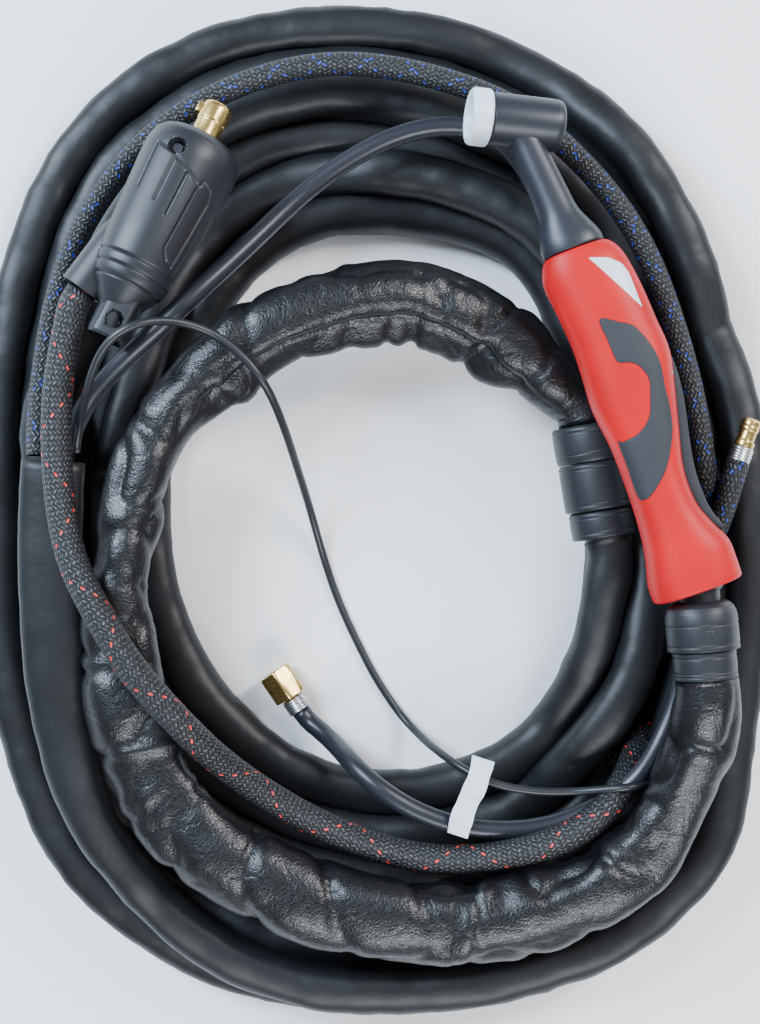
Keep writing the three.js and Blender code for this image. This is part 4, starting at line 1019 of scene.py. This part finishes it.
class Strand:
    """A cord's centreline while the cords settle; move is 1 where a point is free along an axis."""

    def __init__(self, points, radius, step, held=(), pinned=2):
        self.points = smooth_route(points, step)
        count = len(self.points)
        self.radius = np.full(count, float(radius))
        self.move = np.ones((count, 3))
        self.low = np.full(count, float(radius))
        self.high = np.full(count, 38.3)
        for first, last in held:
            a, b = sorted((self.nearest(first), self.nearest(last)))
            self.move[a : b + 1, :2] = 0
            self.low[a : b + 1] = np.maximum(self.points[a : b + 1, 2] - 1.5, radius)
            self.high[a : b + 1] = self.points[a : b + 1, 2] + 5
        self.high = np.maximum(self.high, self.low)
        self.move[:pinned] = 0
        self.move[count - pinned :] = 0

    def nearest(self, point):
        return int(np.argmin(np.linalg.norm(self.points - np.array(point), axis=1)))


def fixed(points, radius):
    strand = Strand(points, radius, 8)
    strand.move[:] = 0
    return strand


def settle(strands, rounds=420):
    """Lets the cords lie on the floor and on each other, inside the coil's edges, without cutting in."""
    points = np.vstack([s.points for s in strands])
    radius = np.concatenate([s.radius for s in strands])
    move = np.vstack([s.move for s in strands])
    low = np.concatenate([s.low for s in strands])
    high = np.concatenate([s.high for s in strands])
    owner = np.concatenate([np.full(len(s.points), k) for k, s in enumerate(strands)])
    starts = np.cumsum([0] + [len(s.points) for s in strands])
    steps = [length_of(s.points) / (len(s.points) - 1) for s in strands]
    step = np.concatenate([np.full(len(s.points), size) for s, size in zip(strands, steps)])
    order = np.arange(len(points))
    apart = np.abs(order[:, None] - order[None, :]) * step[:, None]
    together = (owner[:, None] == owner[None, :]) & (apart < 5 * radius[:, None])
    stuck = move.sum(1) == 0
    together |= stuck[:, None] & stuck[None, :]
    reach = radius[:, None] + radius[None, :] + 0.3
    in_ring = (move[:, 0] > 0)[:, None]
    points += RANDOM.normal(0, 0.4, points.shape) * move
    for turn in range(rounds):
        points[:, 2] -= 0.25 * move[:, 2]
        for a, b in zip(starts[:-1], starts[1:]):
            line = points[a:b]
            bend = np.zeros_like(line)
            bend[1:-1] = (line[2:] + line[:-2]) / 2 - line[1:-1]
            stiff = np.zeros_like(line)
            stiff[1:-1] = (bend[2:] + bend[:-2]) / 2 - bend[1:-1]
            points[a:b] += (0.02 * bend - 0.22 * stiff) * move[a:b]
        if turn % 15 == 0:
            distance = np.linalg.norm(points[:, None] - points[None, :], axis=2)
            first, second = np.nonzero(np.triu((distance < reach + 14) & ~together))
            wanted = reach[first, second]
        for _ in range(2):
            between = points[first] - points[second]
            distance = np.linalg.norm(between, axis=1) + 1e-6
            hit = distance < wanted
            i, j = first[hit], second[hit]
            push = between[hit] * ((wanted[hit] - distance[hit]) / distance[hit])[:, None]
            shift = np.zeros_like(points)
            hits = np.zeros(len(points))
            np.add.at(shift, i, push * np.where(stuck[j], 1.0, 0.5)[:, None])
            np.add.at(shift, j, -push * np.where(stuck[i], 1.0, 0.5)[:, None])
            np.add.at(hits, i, 1)
            np.add.at(hits, j, 1)
            points += 0.8 * shift * move / np.maximum(1, hits)[:, None] ** 0.6
            phi = np.arctan2(points[:, 1], points[:, 0])
            away = np.hypot(points[:, 0], points[:, 1])
            kept = np.clip(away, inner_radius(phi) + radius, outer_radius(phi) - radius)
            scale = (kept / np.maximum(away, 1e-6))[:, None]
            points[:, :2] = np.where(in_ring, points[:, :2] * scale, points[:, :2])
            points[:, 2] = np.where(move[:, 2] > 0, np.clip(points[:, 2], low, high), points[:, 2])
    for strand, a, b in zip(strands, starts[:-1], starts[1:]):
        line = points[a:b]
        for _ in range(4):
            smoothed = (line[:-2] + 2 * line[1:-1] + line[2:]) / 4
            line[1:-1] = np.where(strand.move[1:-1, 2:] > 0, smoothed, line[1:-1])
        strand.points = line


def lay_cords():
    sleeve_route = [*SLEEVE_START, *coiled_turns(), *SLEEVE_LAST]
    sleeve = Strand(sleeve_route, SLEEVE_R, 12, [(SLEEVE_LAST[2], SLEEVE_LAST[-1])])
    start = sleeve.nearest((120.5, -60, 30))
    sleeve.high[:start] = 42
    hidden_red = [ring_point(degrees, 0.62, 8) for degrees in range(132, -25, -12)]
    boss_mouth = [in_package(CONNECTOR, BOSS_TO), in_package(CONNECTOR, (-20.4, -90, -6.7))]
    red_seen = [*RED_SEEN[::-1], boss_mouth[1], boss_mouth[0]]
    red = Strand([*RED_HIDDEN, *hidden_red, *red_seen], RED_R, 9, [(red_seen[2], red_seen[-1])])
    blue_tail = [*BLUE_END, in_package(WATER, (0, -9, 0)), in_package(WATER, (0, -4, 0))]
    held = [(BLUE_SEEN[0], BLUE_SEEN[-1]), (BLUE_HIDDEN[-2], blue_tail[-1])]
    blue = Strand([*BLUE_SEEN, *BLUE_HIDDEN, *blue_tail], BLUE_R, 8, held)
    gas_route = [*GAS_SEEN, in_package(GAS, (0, -10, 0)), in_package(GAS, (0, -4, 0))]
    gas = Strand(gas_route, GAS_R, 8, [(gas_route[0], gas_route[-1])])
    cable = Strand(CABLE_SEEN, CABLE_R, 5, [(CABLE_SEEN[0], CABLE_SEEN[-1])])
    leather_route = [in_package(COLLAR, (0, -53.3, 0)), in_package(COLLAR, (0, -62, 0)), *LEATHER_ROUTE]
    leather_route += [in_package(COUPLER, (0, 9, 0)), in_package(COUPLER, (0, 0.3, 0))]
    leather = Strand(leather_route, LEATHER_R, 10, [(leather_route[0], leather_route[-1])], 3)
    solids = [
        fixed([COUPLER_TOP, COUPLER_FOOT], COUPLER_R),
        fixed([in_package(TORCH, (0, 0, 0)), in_package(TORCH, (0, 160, 0))], 18.4),
        fixed([in_package(CONNECTOR, (0, -20, 0)), in_package(CONNECTOR, (0, -58, 0))], 21.5),
    ]
    settle([sleeve, red, blue, gas, cable, leather, *solids])
    return {"sleeve": sleeve, "red": red, "blue": blue, "gas": gas, "cable": cable, "leather": leather}


# ---------------------------------------------------------------- cords


def fold_noise(s, angle, wave, girth, seed):
    """Smooth noise on a tube's surface: s along it, angle around it."""
    s, angle = np.broadcast_arrays(s, angle)
    x, y, z = s / wave, np.cos(angle) * girth + seed, np.sin(angle) * girth
    flat = zip(x.ravel(), y.ravel(), z.ravel())
    return np.array([noise.noise(p) for p in flat]).reshape(x.shape)


def eased(value):
    value = np.clip(value, 0, 1)
    return value * value * (3 - 2 * value)


def squared(angle, squareness):
    power = 2 / squareness
    cosine, sine = np.cos(angle), np.sin(angle)
    return np.sign(cosine) * np.abs(cosine) ** power, np.sign(sine) * np.abs(sine) ** power


def build_sleeve(cord, finish):
    route = smooth_route(cord.points, 5)
    total = length_of(route)

    def section(s, angle):
        end = eased((s - (total - 230)) / 150)
        across, high = squared(angle, 2.35)
        kinks = fold_noise(s, angle, 30, 0.7, 3.0)
        dents = 1 - 2 * np.abs(fold_noise(s, angle, 15, 0.45, 9.0))
        swell = 1 + (0.09 * kinks + 0.06 * (dents - 0.6)) * (1 - 0.75 * end)
        wide = 11.7 + 4.6 * end
        tall = 11.2 - 3 * end
        return wide * swell * across, tall * swell * high

    made = tube("protective_sleeve", route, section, finish["sleeve"], ["sleeve_coil", "sleeve_end"], 24, 9)


def build_leather(cord, finish):
    route = smooth_route(cord.points, 2.6)
    total = length_of(route)

    def section(s, angle):
        ends = np.minimum(eased(s / 30), eased((total - s) / 40))
        places = [0, 60, 150, 420, 480, 600, 660, 760, total - 60, total]
        wide = np.interp(s, places, [15, 17, 20.5, 21, 16.5, 15.2, 17, 16.5, 17, 15])
        tall = np.interp(s, [0, 60, total - 60, total], [15, 16, 16, 15])
        lean = fold_noise(s, 0 * angle, 40, 0, 5.0)
        broad = fold_noise(s, angle, 48, 0.9, 1.0)
        slanted = s + 16 * np.sin(angle + 5 * lean)
        folds = np.tanh(2.4 * np.abs(fold_noise(slanted, angle, 34, 0.42, 7.0)))
        small = np.tanh(2.4 * np.abs(fold_noise(slanted + 5 * np.cos(angle * 2), angle, 19, 0.4, 13.0)))
        rise = (2.4 * broad + 4.6 * (folds - 0.6) + 0.7 * (small - 0.6)) * (0.2 + 0.8 * ends)
        wrapped = (angle + np.pi) % (2 * np.pi) - np.pi
        doubled = eased((s - (total - 270)) / 50) * eased((total - 28 - s) / 40)
        rise = rise + doubled * (8.5 * hump(wrapped, 0, 0.28) - 2.6 * hump(wrapped, 0.62, 0.13))
        across, high = squared(angle, 2.2)
        height = (tall + 0.8 * rise) * high - 4 * doubled * hump(wrapped, 0, 0.35)
        return (wide + rise) * across, np.maximum(height, -16.4)

    made = tube("leather_cover_skin", route, section, finish["leather"], ["leather_cover"], 88)


def build_hose(name, cord, radius, shade, nodes, sides=32, step=3.5):
    route = smooth_route(cord.points, step)

    def section(s, angle):
        return radius * np.cos(angle) + 0 * s, radius * np.sin(angle) + 0 * s

    made = tube(name, route, section, shade, nodes, sides)


def build_cords(finish):
    cords = lay_cords()
    build_sleeve(cords["sleeve"], finish)
    build_leather(cords["leather"], finish)
    on_power_hose = [piece["connector_moulding"], piece["brass_plug"]]
    on_power_hose += [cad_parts[f"connector_screw_{k}"] for k in (1, 2)]
    build_hose(
        "power_hose_braid", cords["red"], RED_R, finish["red_braid"], ["red_hose"],
    )
    build_hose(
        "water_hose_braid", cords["blue"], BLUE_R, finish["blue_braid"], ["blue_hose", "blue_hose_end"],
    )
    build_hose(
        "gas_hose_tube", cords["gas"], GAS_R, finish["smooth_hose"], ["gas_hose"],
    )
    build_hose(
        "switch_cable_lead", cords["cable"], CABLE_R, finish["cable"], ["switch_cable"],
        16, 3,
    )


# ---------------------------------------------------------------- finishes


def repaint(shade, *nodes):
    for name in nodes:
        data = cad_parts[name].data
        data.materials.clear()
        data.materials.append(shade)


def make_finishes():
    return {
        "red": moulded(
            "red_casing", (0.56, 0.004, 0.008), 0.44, 1200, 0.00005, 0.04, Specular_IOR_Level=0.25,
        ),
        "grip": moulded("soft_grip", (0.019, 0.022, 0.029), 0.62, 2200, 0.00009, 0.12),
        "head": moulded("head_rubber", (0.015, 0.0175, 0.025), 0.42, 1300, 0.00006, 0.12),
        "black": moulded("black_moulding", (0.0125, 0.0145, 0.019), 0.42, 1500, 0.00006, 0.12),
        "gasket": moulded("gasket_white", (0.7, 0.8, 0.87), 0.3, 600, 0.00003, 0.03, Subsurface_Weight=0.15),
        "film": moulded("blank_film", (0.68, 0.75, 0.8), 0.4, 300, 0.00003, 0.03),
        "brass": metal("brass", (0.8, 0.56, 0.2), 0.24),
        "steel": metal("plated_steel", (0.66, 0.67, 0.69), 0.24),
        "dark_steel": metal("dark_steel", (0.09, 0.09, 0.1), 0.4),
        "copper": metal("copper", (0.72, 0.42, 0.28), 0.3),
        "lead": moulded("inner_lead", (0.02, 0.022, 0.028), 0.5),
        "smooth_hose": moulded("smooth_hose", (0.014, 0.0155, 0.023), 0.36, 900, 0.00005, 0.15),
        "cable": moulded("switch_cable_sheath", (0.013, 0.0145, 0.018), 0.4, 900, 0.00004, 0.1),
        "sleeve": sleeve_material(),
        "leather": leather_material(),
        "red_braid": braid_material("red_traced_braid", 2 * math.pi * RED_R, 22, (0.6, 0.04, 0.03), 22),
        "blue_braid": braid_material("blue_traced_braid", 2 * math.pi * BLUE_R, 18, (0.012, 0.04, 0.32), 9),
    }


# ---------------------------------------------------------------- the whole picture

add_camera()
add_stage()
finishes = make_finishes()
build_handle(finishes)
build_head(finishes)
build_collar(finishes)
build_coupler(finishes)
build_connector(finishes)
build_hose_ends(finishes)
build_cords(finishes)
